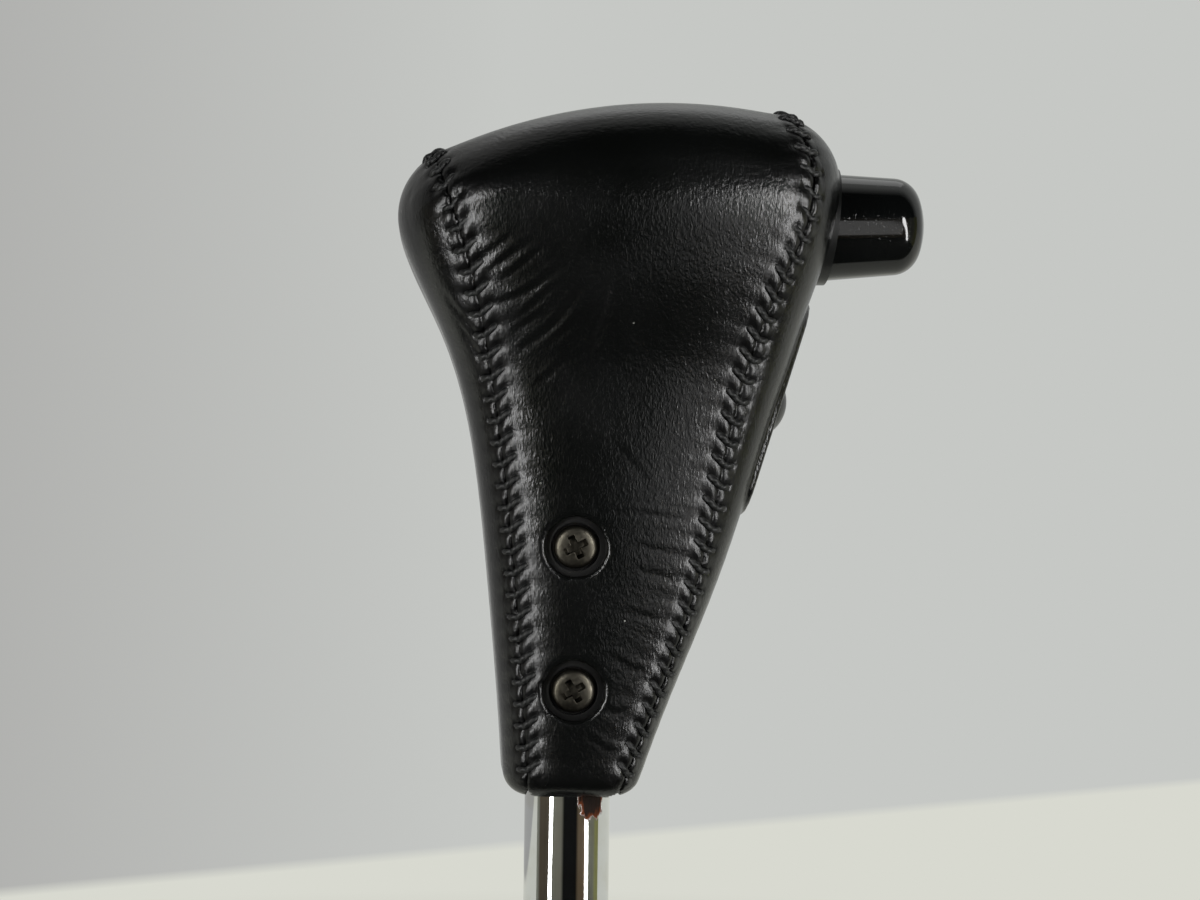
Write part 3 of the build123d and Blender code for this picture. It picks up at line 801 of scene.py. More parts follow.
def new_piece(name: str, mesh: bmesh.types.BMesh | bpy.types.Mesh) -> bpy.types.Object:
    """Makes an object at the origin from a mesh, and frees a bmesh.

    Args:
        name: The piece's name.
        mesh: Its mesh, with its place in it, in metres.

    Returns:
        The new object, linked to the scene.
    """
    if isinstance(mesh, bmesh.types.BMesh):
        data = bpy.data.meshes.new(name)
        mesh.to_mesh(data)
        mesh.free()
    else:
        data = mesh
        data.name = name
    piece = bpy.data.objects.new(name, data)
    bpy.context.scene.collection.objects.link(piece)
    return piece


def applied(piece: bpy.types.Object) -> bpy.types.Mesh:
    """Applies a piece's modifiers and removes the piece.

    Args:
        piece: The piece.

    Returns:
        Its finished mesh.
    """
    graph = bpy.context.evaluated_depsgraph_get()
    mesh = bpy.data.meshes.new_from_object(piece.evaluated_get(graph))
    bpy.data.objects.remove(piece)
    return mesh


def spun(
    profile: list[tuple[float, float, float]],
    axis: tuple[float, float, float],
    angle: float,
    steps: int,
) -> bmesh.types.BMesh:
    """Spins a profile round an axis through the origin.

    Args:
        profile: The profile's corners, in metres.
        axis: The axis.
        angle: How far it is spun; a full turn is closed.
        steps: Steps of the spin.

    Returns:
        A new bmesh, which the caller frees.
    """
    mesh = bmesh.new()
    corners = [mesh.verts.new(place) for place in profile]
    edges = [mesh.edges.new(pair) for pair in zip(corners, corners[1:])]
    bmesh.ops.spin(
        mesh,
        geom=corners + edges,
        cent=(0.0, 0.0, 0.0),
        axis=axis,
        dvec=(0.0, 0.0, 0.0),
        angle=angle,
        steps=steps,
        use_merge=angle >= math.tau,
    )
    return mesh


def unit(vectors: np.ndarray) -> np.ndarray:
    """Brings vectors to length 1.

    Args:
        vectors: The vectors, one in each row.

    Returns:
        The unit vectors.
    """
    return vectors / np.linalg.norm(vectors, axis=-1, keepdims=True)


def smooth_path(points: np.ndarray, steps: int) -> np.ndarray:
    """Fills a path in between its points with a Catmull-Rom curve.

    Args:
        points: Points that the path passes.
        steps: New points for each stretch.

    Returns:
        The points of the filled path.
    """
    padded = np.vstack([2 * points[0] - points[1], points, 2 * points[-1] - points[-2]])
    made = []
    for index in range(len(points) - 1):
        before, start, end, after = padded[index : index + 4]
        share = (np.arange(steps) / steps)[:, None]
        made.append(
            start
            + 0.5 * share * (end - before)
            + share**2 * (before - 2.5 * start + 2 * end - 0.5 * after)
            + share**3 * (1.5 * start - 0.5 * before - 1.5 * end + 0.5 * after)
        )
    return np.vstack([*made, points[-1:]])


def from_axis(points: np.ndarray) -> np.ndarray:
    """Outward directions from the middle of the grip.

    Args:
        points: Places on the grip, in millimetres.

    Returns:
        Unit vectors away from the line that runs up the middle of the grip.
    """
    level = np.minimum(points[:, 2], GRIP_HEAD[2])
    share = ((level - GRIP_FOOT[2]) / (GRIP_HEAD[2] - GRIP_FOOT[2]))[:, None]
    middle = GRIP_FOOT + share * (GRIP_HEAD - GRIP_FOOT)
    return unit(points - middle)


@dataclass
class SeamLine:
    """A sewn seam, read from its CAD node: where each knot and each thread hole is, in millimetres."""

    knots: np.ndarray
    saddle_holes: np.ndarray
    strip_holes: np.ndarray
    outward: np.ndarray
    # Path points for each stitch, and how near the holes are drawn to the seam.
    fill: int = 10
    tight: float = 0.7

    @classmethod
    def read(cls, node: str, lift: float) -> "SeamLine":
        """Reads the stitches in order, from the lower front edge over the roof to the back.

        Args:
            node: The thread's CAD node.
            lift: How far the CAD thread's middle lies over the leather, in millimetres.

        Returns:
            The seam.
        """
        mesh = merged_copy(node)
        rows = []
        for points in solids_of(mesh):
            centred = points - points.mean(axis=0)
            main = np.linalg.svd(centred)[2][0]
            order = np.argsort(centred @ main)
            third = len(order) // 3
            ends = [points[order[:third]].mean(axis=0), points[order[-third:]].mean(axis=0)]
            knot = points[order[third:-third]].mean(axis=0)
            ends.sort(key=lambda end: -float(np.linalg.norm(end - knot)))
            rows.append((knot, ends[0], ends[1]))
        mesh.free()
        left = list(range(len(rows)))
        current = min(left, key=lambda row: (rows[row][0][1] > 0, rows[row][0][2]))
        chain = [current]
        left.remove(current)
        while left:
            here = rows[current][0]
            current = min(left, key=lambda row: float(np.linalg.norm(rows[row][0] - here)))
            chain.append(current)
            left.remove(current)
        knots, saddle, strip = (np.array([rows[row][part] for row in chain]) for part in range(3))
        along = unit(np.gradient(knots, axis=0))
        outward = unit(np.cross(along, saddle - strip))
        outward *= np.sign((outward * from_axis(knots)).sum(axis=1))[:, None]
        sunk = outward * lift
        saddle, strip = (knots + cls.tight * (holes - knots) for holes in (saddle, strip))
        return cls(knots - sunk, saddle - sunk, strip - sunk, outward)

    def measure(self, points: np.ndarray) -> tuple[np.ndarray, np.ndarray, np.ndarray, np.ndarray]:
        """Finds places by the seam.

        Args:
            points: Places on the leather, in millimetres.

        Returns:
            Stitches along the seam, millimetres across it towards the saddle, the distance from it,
            and the direction across it.
        """
        path = smooth_path(self.knots, self.fill)
        count = np.arange(len(path)) / self.fill
        along = unit(np.gradient(path, axis=0))
        across = np.repeat(self.saddle_holes - self.strip_holes, self.fill, axis=0)[: len(path)]
        across = unit(across - along * (across * along).sum(axis=1)[:, None])
        pitch = float(np.linalg.norm(np.diff(self.knots, axis=0), axis=1).mean())
        tree = KDTree(len(path))
        for index, place in enumerate(path):
            tree.insert(place, index)
        tree.balance()
        nearest = np.array([tree.find(point)[1] for point in points])
        away = points - path[nearest]
        stitch = count[nearest] + (away * along[nearest]).sum(axis=1) / pitch
        aside = across[nearest]
        return stitch, (away * aside).sum(axis=1), np.linalg.norm(away, axis=1), aside


@dataclass(frozen=True)
class Crease:
    """A stretch crease in the leather's front: x and height of its points, its depth and width."""

    points: tuple[tuple[float, float], ...]
    depth: float
    width: float
    # How it fades at its tips, and the lip along its side.
    steps: int = 8
    tip: float = 0.8
    tip_start: float = 0.6
    taper: float = 0.6
    lip: float = 0.6
    lip_gap: float = 1.5

    def height(self, places: np.ndarray) -> np.ndarray:
        """How far the crease sinks the leather and lifts its lip.

        Args:
            places: Places on the leather, in millimetres.

        Returns:
            Heights in millimetres.
        """
        path = smooth_path(np.array(self.points), self.steps)
        along = unit(np.gradient(path, axis=0))
        gaps = places[:, None, ::2] - path[None]
        nearest = np.argmin((gaps**2).sum(axis=2), axis=1)
        gap = gaps[np.arange(len(places)), nearest]
        ahead = (gap * along[nearest]).sum(axis=1)
        aside = gap[:, 0] * along[nearest, 1] - gap[:, 1] * along[nearest, 0]
        reached = np.clip((nearest + self.tip_start) / len(path), 0.0, 1.0)
        fade = np.sin(np.pi * reached) ** self.taper
        fade *= np.exp(-((np.abs(ahead) / self.tip) ** 2))
        valley = np.exp(-((aside / self.width) ** 2))
        lip = np.exp(-(((aside + self.lip_gap * self.width) / self.width) ** 2))
        return self.depth * fade * (self.lip * lip - valley)


@dataclass
class LeatherCover:
    """Three leather panels over the core, pulled in at the seams and puffed between the stitches.

    Lengths are in millimetres, but the flat sizes are in metres.
    """

    wardrobe: Wardrobe
    outer_seam: SeamLine
    button_seam: SeamLine
    # The even mesh, and how quickly a face counts as an outer or a front one.
    saddle_voxel: float = 0.5
    strip_voxel: float = 0.42
    smooth_factor: float = 0.5
    outer_gain: float = 1.6
    front_gain: float = 2.0
    # The stitches: pitch, ends, and how far from the seam the leather is worked.
    pitch: float = 3.45
    seam_slack: tuple[float, float] = (0.5, 0.35)
    sewn_width: float = 4.2
    sewn_limit: float = 11.0
    saddle_reach: float = 1.95
    strip_reach: float = 1.6
    saddle_lean: float = 0.38
    # The groove at the seam, puffs between threads, beds under them, holes and the pull beyond.
    groove_depth: float = 0.22
    groove_width: float = 0.55
    puff: float = 0.23
    span_start: float = 0.1
    span_end: float = 0.4
    thread_bed: float = 0.14
    bed_width: float = 0.6
    hole_depth: float = 0.24
    hole_width: float = 0.5
    pull: float = 0.06
    pull_reach: float = 2.2
    # How far the panels' edges are drawn together.
    closing: float = 0.55
    closing_width: float = 1.1
    drawn_in: float = 6.0
    # The padding's shoulder by the left seam, and the head's swell.
    shoulder: float = 0.62
    shoulder_rise: float = 4.0
    shoulder_fall: float = 12.0
    shoulder_limit: float = 40.0
    head_swell: float = 0.9
    head_middle: float = 185.0
    head_width: float = 6.5
    # Stretch creases by the head, on the left edge and lower on the neck.
    creases: tuple[Crease, ...] = (
        Crease(((-15.2, 175.8), (-10.7, 179.2)), 0.12, 0.5),
        Crease(((-14.7, 173.2), (-8.6, 177.8)), 0.16, 0.55),
        Crease(((-11.9, 172.3), (-6.2, 177.0)), 0.16, 0.5),
        Crease(((-13.0, 168.4), (-8.0, 170.6), (-3.7, 174.0)), 0.2, 0.6),
        Crease(((-10.7, 163.8), (-6.1, 167.2)), 0.12, 0.5),
        Crease(((-9.2, 166.6), (-4.6, 171.0)), 0.16, 0.5),
        Crease(((-9.5, 161.1), (-4.0, 165.5), (0.1, 171.0)), 0.2, 0.6),
        Crease(((-5.0, 162.0), (-0.8, 165.8)), 0.14, 0.5),
        Crease(((-6.5, 156.0), (-2.5, 159.5)), 0.12, 0.5),
        Crease(((0.4, 160.3), (3.4, 165.0), (5.5, 172.3)), 0.16, 0.6),
        Crease(((-21.4, 170.0), (-15.3, 162.3)), 0.14, 0.5),
        Crease(((-19.4, 166.0), (-14.6, 158.6)), 0.14, 0.5),
        Crease(((4.6, 148.3), (8.0, 144.6), (12.1, 139.3)), 0.05, 0.6),
        Crease(((5.4, 135.9), (12.0, 135.6), (19.0, 134.3)), 0.07, 0.5),
        Crease(((9.0, 130.8), (17.5, 129.3)), 0.06, 0.5),
        Crease(((10.0, 126.8), (16.5, 125.1)), 0.06, 0.5),
        Crease(((7.5, 120.4), (14.4, 118.6)), 0.06, 0.5),
        Crease(((5.9, 113.0), (10.0, 110.9), (13.0, 111.3)), 0.08, 0.5),
        Crease(((4.4, 105.0), (7.4, 104.1), (11.0, 105.9)), 0.09, 0.5),
        Crease(((2.1, 100.4), (5.9, 98.0), (8.6, 98.0)), 0.1, 0.5),
    )

    def build(self) -> None:
        """Makes and dresses the three panels."""
        self.panel("saddle_leather", "leather_saddle", self.saddle_voxel, (0.062, 0.258), 2)
        self.panel("outer_strip_leather", "leather_outer_strip", self.strip_voxel, (0.047, 0.11), 1)
        self.panel("button_strip_leather", "leather_button_strip", self.strip_voxel, (0.043, 0.118), 1)

    def panel(
        self, name: str, node: str, voxel: float, flat: tuple[float, float], smoothing: int
    ) -> None:
        """Makes one panel from its CAD node.

        Args:
            name: The new piece's name.
            node: The CAD node that it stands for.
            voxel: Mesh spacing, in millimetres.
            flat: Width and length of the cut piece of leather, in metres; not used.
            smoothing: Rounds of smoothing after the remesh.
        """
        rough = new_piece(name + "_rough", merged_copy(node))
        remesh = rough.modifiers.new("even_mesh", "REMESH")
        remesh.mode = "VOXEL"
        remesh.voxel_size = voxel * MM
        even = applied(rough)
        mesh = bmesh.new()
        mesh.from_mesh(even)
        bpy.data.meshes.remove(even)
        for _ in range(smoothing):
            bmesh.ops.smooth_vert(
                mesh,
                verts=mesh.verts[:],
                factor=self.smooth_factor,
                use_axis_x=True,
                use_axis_y=True,
                use_axis_z=True,
            )
        piece = new_piece(name, mesh)
        self.work(piece.data)
        piece.data.shade_smooth()
        self.wardrobe.dress_piece(piece, Finish.LEATHER, node)

    def work(self, data: bpy.types.Mesh) -> None:
        """Pulls, puffs and creases a panel's outer face, and marks where it is sewn.

        Args:
            data: The panel's mesh.
        """
        count = len(data.vertices)
        flat = np.empty(count * 3)
        data.vertices.foreach_get("co", flat)
        points = flat.reshape(-1, 3) / MM
        data.vertex_normals.foreach_get("vector", flat)
        normals = flat.reshape(-1, 3).copy()
        outer = np.clip((normals * from_axis(points)).sum(axis=1) * self.outer_gain, 0.0, 1.0)
        height = np.zeros(count)
        shift = np.zeros((count, 3))
        sewn = np.zeros((count, 3))
        closest = np.full(count, np.inf)
        before, after = self.seam_slack
        for seam in (self.outer_seam, self.button_seam):
            stitch, across, apart, aside = seam.measure(points)
            sewn_here = (stitch > -before) & (stitch < len(seam.knots) - after)
            height += self.sewn_height(stitch, across, apart) * sewn_here
            drawn = self.closing * np.sign(across) * np.exp(-((across / self.closing_width) ** 2))
            drawn *= apart < self.drawn_in
            shift -= aside * drawn[:, None]
            nearer = apart < closest
            closest = np.minimum(closest, apart)
            sewn[nearer, 0] = stitch[nearer] * self.pitch * MM
            sewn[nearer, 1] = across[nearer] * MM
        sewn[:, 2] = np.exp(-((closest / self.sewn_width) ** 2))
        front = np.clip(-normals[:, 1] * self.front_gain, 0.0, 1.0)
        height += front * sum(crease.height(points) for crease in self.creases)
        height += self.padding(points, normals)
        moved = points + normals * (height * outer)[:, None] + shift
        data.vertices.foreach_set("co", (moved * MM).ravel())
        mark = data.attributes.new("sewn", "FLOAT_VECTOR", "POINT")
        mark.data.foreach_set("vector", sewn.ravel())
        data.update()

    def padding(self, points: np.ndarray, normals: np.ndarray) -> np.ndarray:
        """How far padding swells the leather: a shoulder by the left seam and a full head.

        Args:
            points: Places on the leather, in millimetres.
            normals: The leather's directions there.

        Returns:
            Heights in millimetres.
        """
        across, apart = self.outer_seam.measure(points)[1:3]
        from_seam = np.clip(across, 0.0, None)
        rising = 1 - np.exp(-((from_seam / self.shoulder_rise) ** 2))
        shoulder = self.shoulder * rising * np.exp(-((from_seam / self.shoulder_fall) ** 2))
        shoulder *= apart < self.shoulder_limit
        above = (points[:, 2] - self.head_middle) / self.head_width
        swell = self.head_swell * np.exp(-(above**2))
        # Full where the leather faces the front or the back, none where it faces sideways.
        facing = np.clip(np.abs(normals[:, 1]) * 2 - 1, 0.0, 1.0)
        return (shoulder + swell) * facing

    def sewn_height(self, stitch: np.ndarray, across: np.ndarray, apart: np.ndarray) -> np.ndarray:
        """How far sewing lifts or sinks the leather.

        Args:
            stitch: Stitches along the seam.
            across: Millimetres across the seam, towards the saddle.
            apart: Distance from the seam.

        Returns:
            Heights in millimetres.
        """
        on_saddle = across >= 0
        side = np.abs(across)
        reach = np.where(on_saddle, self.saddle_reach, self.strip_reach)
        lean = np.where(on_saddle, self.saddle_lean, 0.0)
        under = stitch - lean * np.clip(side / reach, 0.0, 1.0)
        off_thread = (under - np.round(under)) * self.pitch
        hole = stitch - lean
        off_hole = (hole - np.round(hole)) * self.pitch
        spanned = np.clip((side + self.span_start) / (reach + self.span_end), 0.0, 1.0)
        span = np.sin(np.pi * spanned)
        bulge = 0.5 - 0.5 * np.cos(2 * np.pi * under)
        bed = np.exp(-((off_thread / self.bed_width) ** 2))
        made = -self.groove_depth * np.exp(-((across / self.groove_width) ** 2))
        made += span * (self.puff * bulge - self.thread_bed * bed)
        from_hole = (side - reach) ** 2 + off_hole**2
        made -= self.hole_depth * np.exp(-from_hole / self.hole_width**2)
        beyond = np.exp(-np.clip(side - reach, 0.0, None) / self.pull_reach) * (side > reach)
        made -= self.pull * beyond * np.cos(2 * np.pi * hole)
        return np.where(apart < self.sewn_limit, made, 0.0)


@dataclass
class SeamThreads:
    """The stitches of both seams: a leaning leg on the saddle, a short one on the strip.

    Lengths are in millimetres.
    """

    wardrobe: Wardrobe
    radius: float = 0.5
    leg_across: float = 1.95
    leg_along: float = 1.33
    short_leg: float = 1.6
    sides: int = 8
    fill: int = 2
    way_points: int = 8
    # How the thread rises from its hole, lies over the leather and dips at the knot.
    over: float = 0.34
    under: float = 0.75
    hole_gap: float = 0.25
    hole_lift: float = 0.05
    rise: float = 0.9
    knot_lift: float = 0.12
    nudge: float = 0.001
    # The twist of the plies.
    ply_pitch: float = 1.1
    plies: int = 2

    def build(self, name: str, node: str, seam: SeamLine) -> None:
        """Makes and dresses the stitches of one seam.

        Args:
            name: The new piece's name.
            node: The CAD node that it stands for.
            seam: The seam.
        """
        pattern = self.pattern_stitch()
        mesh = bmesh.new()
        mesh.loops.layers.uv.new("twist")
        for number in range(len(seam.knots)):
            first = len(mesh.verts)
            mesh.from_mesh(pattern)
            mesh.verts.ensure_lookup_table()
            self.lay(mesh.verts[first:], self.path(seam, number))
        bpy.data.meshes.remove(pattern)
        piece = new_piece(name, mesh)
        piece.data.shade_smooth()
        self.wardrobe.dress_piece(piece, Finish.THREAD, node)

    def path(self, seam: SeamLine, number: int) -> np.ndarray:
        """The way of one stitch: out of the saddle's hole, over the seam, into the strip's hole.

        Args:
            seam: The seam.
            number: The stitch's place along it.

        Returns:
            Points in millimetres, and the leather's outward direction at each in columns 3 to 5.
        """
        out = seam.outward[number]
        knot = seam.knots[number]
        saddle, strip = seam.saddle_holes[number], seam.strip_holes[number]
        inward = unit(knot - saddle)
        inside = unit(knot - strip)
        rows = np.array(
            [
                saddle - out * self.under,
                saddle + inward * self.hole_gap + out * self.hole_lift,
                saddle + inward * self.rise + out * self.over,
                (saddle + 2 * knot) / 3 + out * self.over,
                knot + out * self.knot_lift,
                (strip + knot) / 2 + out * self.over,
                strip + inside * self.hole_gap + out * self.hole_lift,
                strip - out * self.under,
            ]
        )
        path = smooth_path(rows, self.fill)
        return np.hstack([path, np.repeat(out[None], len(path), axis=0)])

    def pattern_stitch(self) -> bpy.types.Mesh:
        """Makes a straight stitch with a ring for each point of its path, and its twist as a UV map.

        Returns:
            The tube's mesh: radius 1, one ring at each whole number up the Z axis.
        """
        rings = (self.way_points - 1) * self.fill + 1
        mesh = bmesh.new()
        twist = mesh.loops.layers.uv.new("twist")
        bmesh.ops.create_circle(mesh, segments=self.sides, radius=1.0)
        edges = mesh.edges[:]
        for _ in range(rings - 1):
            grown = bmesh.ops.extrude_edge_only(mesh, edges=edges)["geom"]
            corners = [part for part in grown if isinstance(part, bmesh.types.BMVert)]
            edges = [part for part in grown if isinstance(part, bmesh.types.BMEdge)]
            bmesh.ops.translate(mesh, verts=corners, vec=(0.0, 0.0, 1.0))
        bmesh.ops.recalc_face_normals(mesh, faces=mesh.faces[:])
        length = self.pattern_length()
        for face in mesh.faces:
            corners = [loop.vert.co for loop in face.loops]
            turns = [math.atan2(corner.y, corner.x) / math.tau % 1.0 for corner in corners]
            wraps = max(turns) - min(turns) > 0.5
            for loop, turn in zip(face.loops, turns):
                around = turn + 1.0 if wraps and turn < 0.5 else turn
                up = loop.vert.co.z / (rings - 1) * length / self.ply_pitch
                loop[twist].uv = (up, around * self.plies)
        pattern = bpy.data.meshes.new("pattern_stitch")
        mesh.to_mesh(pattern)
        mesh.free()
        return pattern

    def pattern_length(self) -> float:
        """Adds up a stitch's length along its thread.

        Returns:
            The length in millimetres.
        """
        return math.hypot(self.leg_across, self.leg_along) + self.short_leg + 2 * self.under

    def lay(self, corners: list[bmesh.types.BMVert], path: np.ndarray) -> None:
        """Bends a straight stitch along its path.

        Args:
            corners: The stitch's own corners.
            path: Its points and outward directions.
        """
        places, outward = path[:, :3], path[:, 3:]
        along = unit(np.gradient(places, axis=0))
        aside = unit(np.cross(along, outward + self.nudge))
        up = np.cross(aside, along)
        for corner in corners:
            ring = round(corner.co.z)
            turned = corner.co.x * up[ring] + corner.co.y * aside[ring]
            corner.co = Vector((places[ring] + self.radius * turned) * MM)


@dataclass
class GripScrews:
    """Two black pan-head screws with cross recesses, in punched holes in the leather.

    The profile gives radius and depth from the top of the head. Lengths are in millimetres.
    """

    wardrobe: Wardrobe
    turns: tuple[float, ...] = (31.0, 27.0)
    profile: tuple[tuple[float, float], ...] = (
        (0.0, 0.0),
        (1.2, 0.03),
        (2.1, 0.1),
        (2.8, 0.22),
        (3.2, 0.42),
        (3.42, 0.75),
        (3.5, 1.2),
        (3.5, 2.25),
        (3.35, 2.4),
        (2.0, 2.4),
        (2.0, 9.2),
        (0.0, 9.2),
    )
    # The cross recess: four wings and a round middle, cut from above the head.
    wing_length: float = 4.6
    wing_width: float = 1.25
    wing_taper: tuple[float, float] = (0.62, 0.8)
    wing_corner: float = 0.22
    recess_depth: float = 1.7
    recess_core: float = 0.8
    core_taper: tuple[float, float] = (0.55, 1.25)
    core_steps: int = 24
    overshoot: float = 1.0
    # Worn edges, and how far the heads stand out over the CAD's.
    worn_edge: float = 0.12
    edge_angle: float = 40.0
    sharp_angle: float = 38.0
    proud: float = 0.02
    steps: int = 48

    def build(self) -> None:
        """Makes and dresses both screws as one piece."""
        solids = merged_copy("grip_screws")
        places = sorted(solids_of(solids), key=lambda points: points[:, 2].mean())
        solids.free()
        mesh = bmesh.new()
        for points, turn in zip(places, self.turns):
            middle = (points.min(axis=0) + points.max(axis=0)) / 2
            top = Vector((middle[0], points[:, 1].min() - self.proud, middle[2]))
            made = self.screw(math.radians(turn))
            made.transform(Matrix.Translation(top * MM))
            mesh.from_mesh(made)
            bpy.data.meshes.remove(made)
        piece = new_piece("pan_head_screws", mesh)
        piece.data.shade_smooth()
        piece.data.set_sharp_from_angle(angle=math.radians(self.sharp_angle))
        self.wardrobe.dress_piece(piece, Finish.SCREW, "grip_screws")

    def screw(self, turn: float) -> bpy.types.Mesh:
        """Makes one screw, head outwards along -Y with the top of its head at the origin.

        Args:
            turn: How far its recess is turned.

        Returns:
            Its mesh.
        """
        profile = [(radius * MM, depth * MM, 0.0) for radius, depth in self.profile]
        mesh = spun(profile, (0.0, 1.0, 0.0), math.tau, self.steps)
        bmesh.ops.remove_doubles(mesh, verts=mesh.verts[:], dist=WELD)
        bmesh.ops.recalc_face_normals(mesh, faces=mesh.faces[:])
        screw = new_piece("screw_blank", mesh)
        cutters = [self.wing(turn), self.wing(turn + math.pi / 2), self.recess_middle()]
        for cutter in cutters:
            cut = screw.modifiers.new("cross_recess", "BOOLEAN")
            cut.operation = "DIFFERENCE"
            cut.solver = "EXACT"
            cut.object = cutter
        edge = screw.modifiers.new("worn_edge", "BEVEL")
        edge.width = self.worn_edge * MM
        edge.segments = 2
        edge.limit_method = "ANGLE"
        edge.angle_limit = math.radians(self.edge_angle)
        made = applied(screw)
        for cutter in cutters:
            bpy.data.objects.remove(cutter)
        return made

    def wing(self, turn: float) -> bpy.types.Object:
        """One pair of tapered wings of the recess.

        Args:
            turn: How far it is turned about the screw's axis.

        Returns:
            The cutter.
        """
        mesh = bmesh.new()
        bmesh.ops.create_cube(mesh, size=1.0)
        for corner in mesh.verts:
            deep = corner.co.y > 0
            shorter, thinner = self.wing_taper if deep else (1.0, 1.0)
            corner.co.x *= self.wing_length * shorter
            corner.co.z *= self.wing_width * thinner
            corner.co.y = self.recess_depth if deep else -self.overshoot
        ends = [(edge, [corner.co.y for corner in edge.verts]) for edge in mesh.edges]
        upright = [edge for edge, (first, last) in ends if abs(first - last) > self.overshoot]
        bmesh.ops.bevel(
            mesh,
            geom=upright,
            offset=self.wing_corner,
            segments=3,
            profile=0.5,
            affect="EDGES",
            material=-1,
        )
        bmesh.ops.scale(mesh, vec=(MM, MM, MM), verts=mesh.verts[:])
        bmesh.ops.rotate(mesh, matrix=Matrix.Rotation(-turn, 3, "Y"), verts=mesh.verts[:])
        return new_piece("recess_wing", mesh)

    def recess_middle(self) -> bpy.types.Object:
        """The round middle of the recess, which cuts the corners between the wings.

        Returns:
            The cutter.
        """
        bottom, top = self.core_taper
        mesh = bmesh.new()
        bmesh.ops.create_cone(
            mesh,
            cap_ends=True,
            segments=self.core_steps,
            radius1=self.recess_core * bottom * MM,
            radius2=self.recess_core * top * MM,
            depth=(self.recess_depth + self.overshoot) * MM,
        )
        middle = (self.recess_depth - self.overshoot) / 2 * MM
        bmesh.ops.rotate(mesh, matrix=Matrix.Rotation(math.pi / 2, 3, "X"), verts=mesh.verts[:])
        bmesh.ops.translate(mesh, verts=mesh.verts[:], vec=(0.0, middle, 0.0))
        return new_piece("recess_middle", mesh)


@dataclass
class LeverTube:
    """Chromed tube with the rod and its bushes."""

    wardrobe: Wardrobe

    def dress(self) -> None:
        """Puts finishes on the tube and what is in it."""
        self.wardrobe.dress_node("lever_tube", Finish.CHROME)
        self.wardrobe.dress_node("release_rod", Finish.STEEL)
        self.wardrobe.dress_node("rod_cap", Finish.STEEL)
        self.wardrobe.dress_node("upper_rod_bush", Finish.BUSH)
        self.wardrobe.dress_node("lower_rod_bush", Finish.BUSH)


@dataclass
class GripWorks:
    """Core, release button and overdrive switch."""

    wardrobe: Wardrobe

    def dress(self) -> None:
        """Puts finishes on the core, the buttons and the switch."""
        self.wardrobe.dress_node("grip_core", Finish.CORE)
        self.wardrobe.dress_node("release_button", Finish.BUTTON)
        self.wardrobe.dress_node("button_guide", Finish.GUIDE)
        self.wardrobe.dress_node("switch_plate", Finish.STEEL)
        self.wardrobe.dress_node("overdrive_button", Finish.GUIDE)
        self.wardrobe.dress_node("switch_case", Finish.CORE)
        self.wardrobe.dress_node("switch_contact", Finish.BRASS)
        self.wardrobe.dress_node("switch_terminals", Finish.BRASS)


@dataclass
class CoilSprings:
    """The return spring and the switch's spring, which shorten as the buttons go in."""

    wardrobe: Wardrobe
    slack: float = 0.985

    def build(self) -> None:
        """Makes and dresses both springs."""
        self.spring("return_coil", "return_spring")
        self.spring("switch_coil", "switch_spring")

    def spring(self, name: str, node: str) -> None:
        """Makes one spring, with a mesh of its own.

        Args:
            name: The new piece's name.
            node: The CAD node that it stands for.
        """
        mesh = merged_copy(node)
        piece = new_piece(name, mesh)
        piece.data.shade_smooth()
        self.wardrobe.dress_piece(piece, Finish.STEEL, node)
        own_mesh(piece)


@dataclass(frozen=True)
class Lamp:
    """A soft white panel lamp: where it hangs, its size, its power and how far it leans.

    The bearing counts from the camera's side. Angles are in degrees, lengths in metres.
    """

    name: str
    bearing: float
    rise: float
    distance: float
    width: float
    height: float
    watts: float
    lean: float


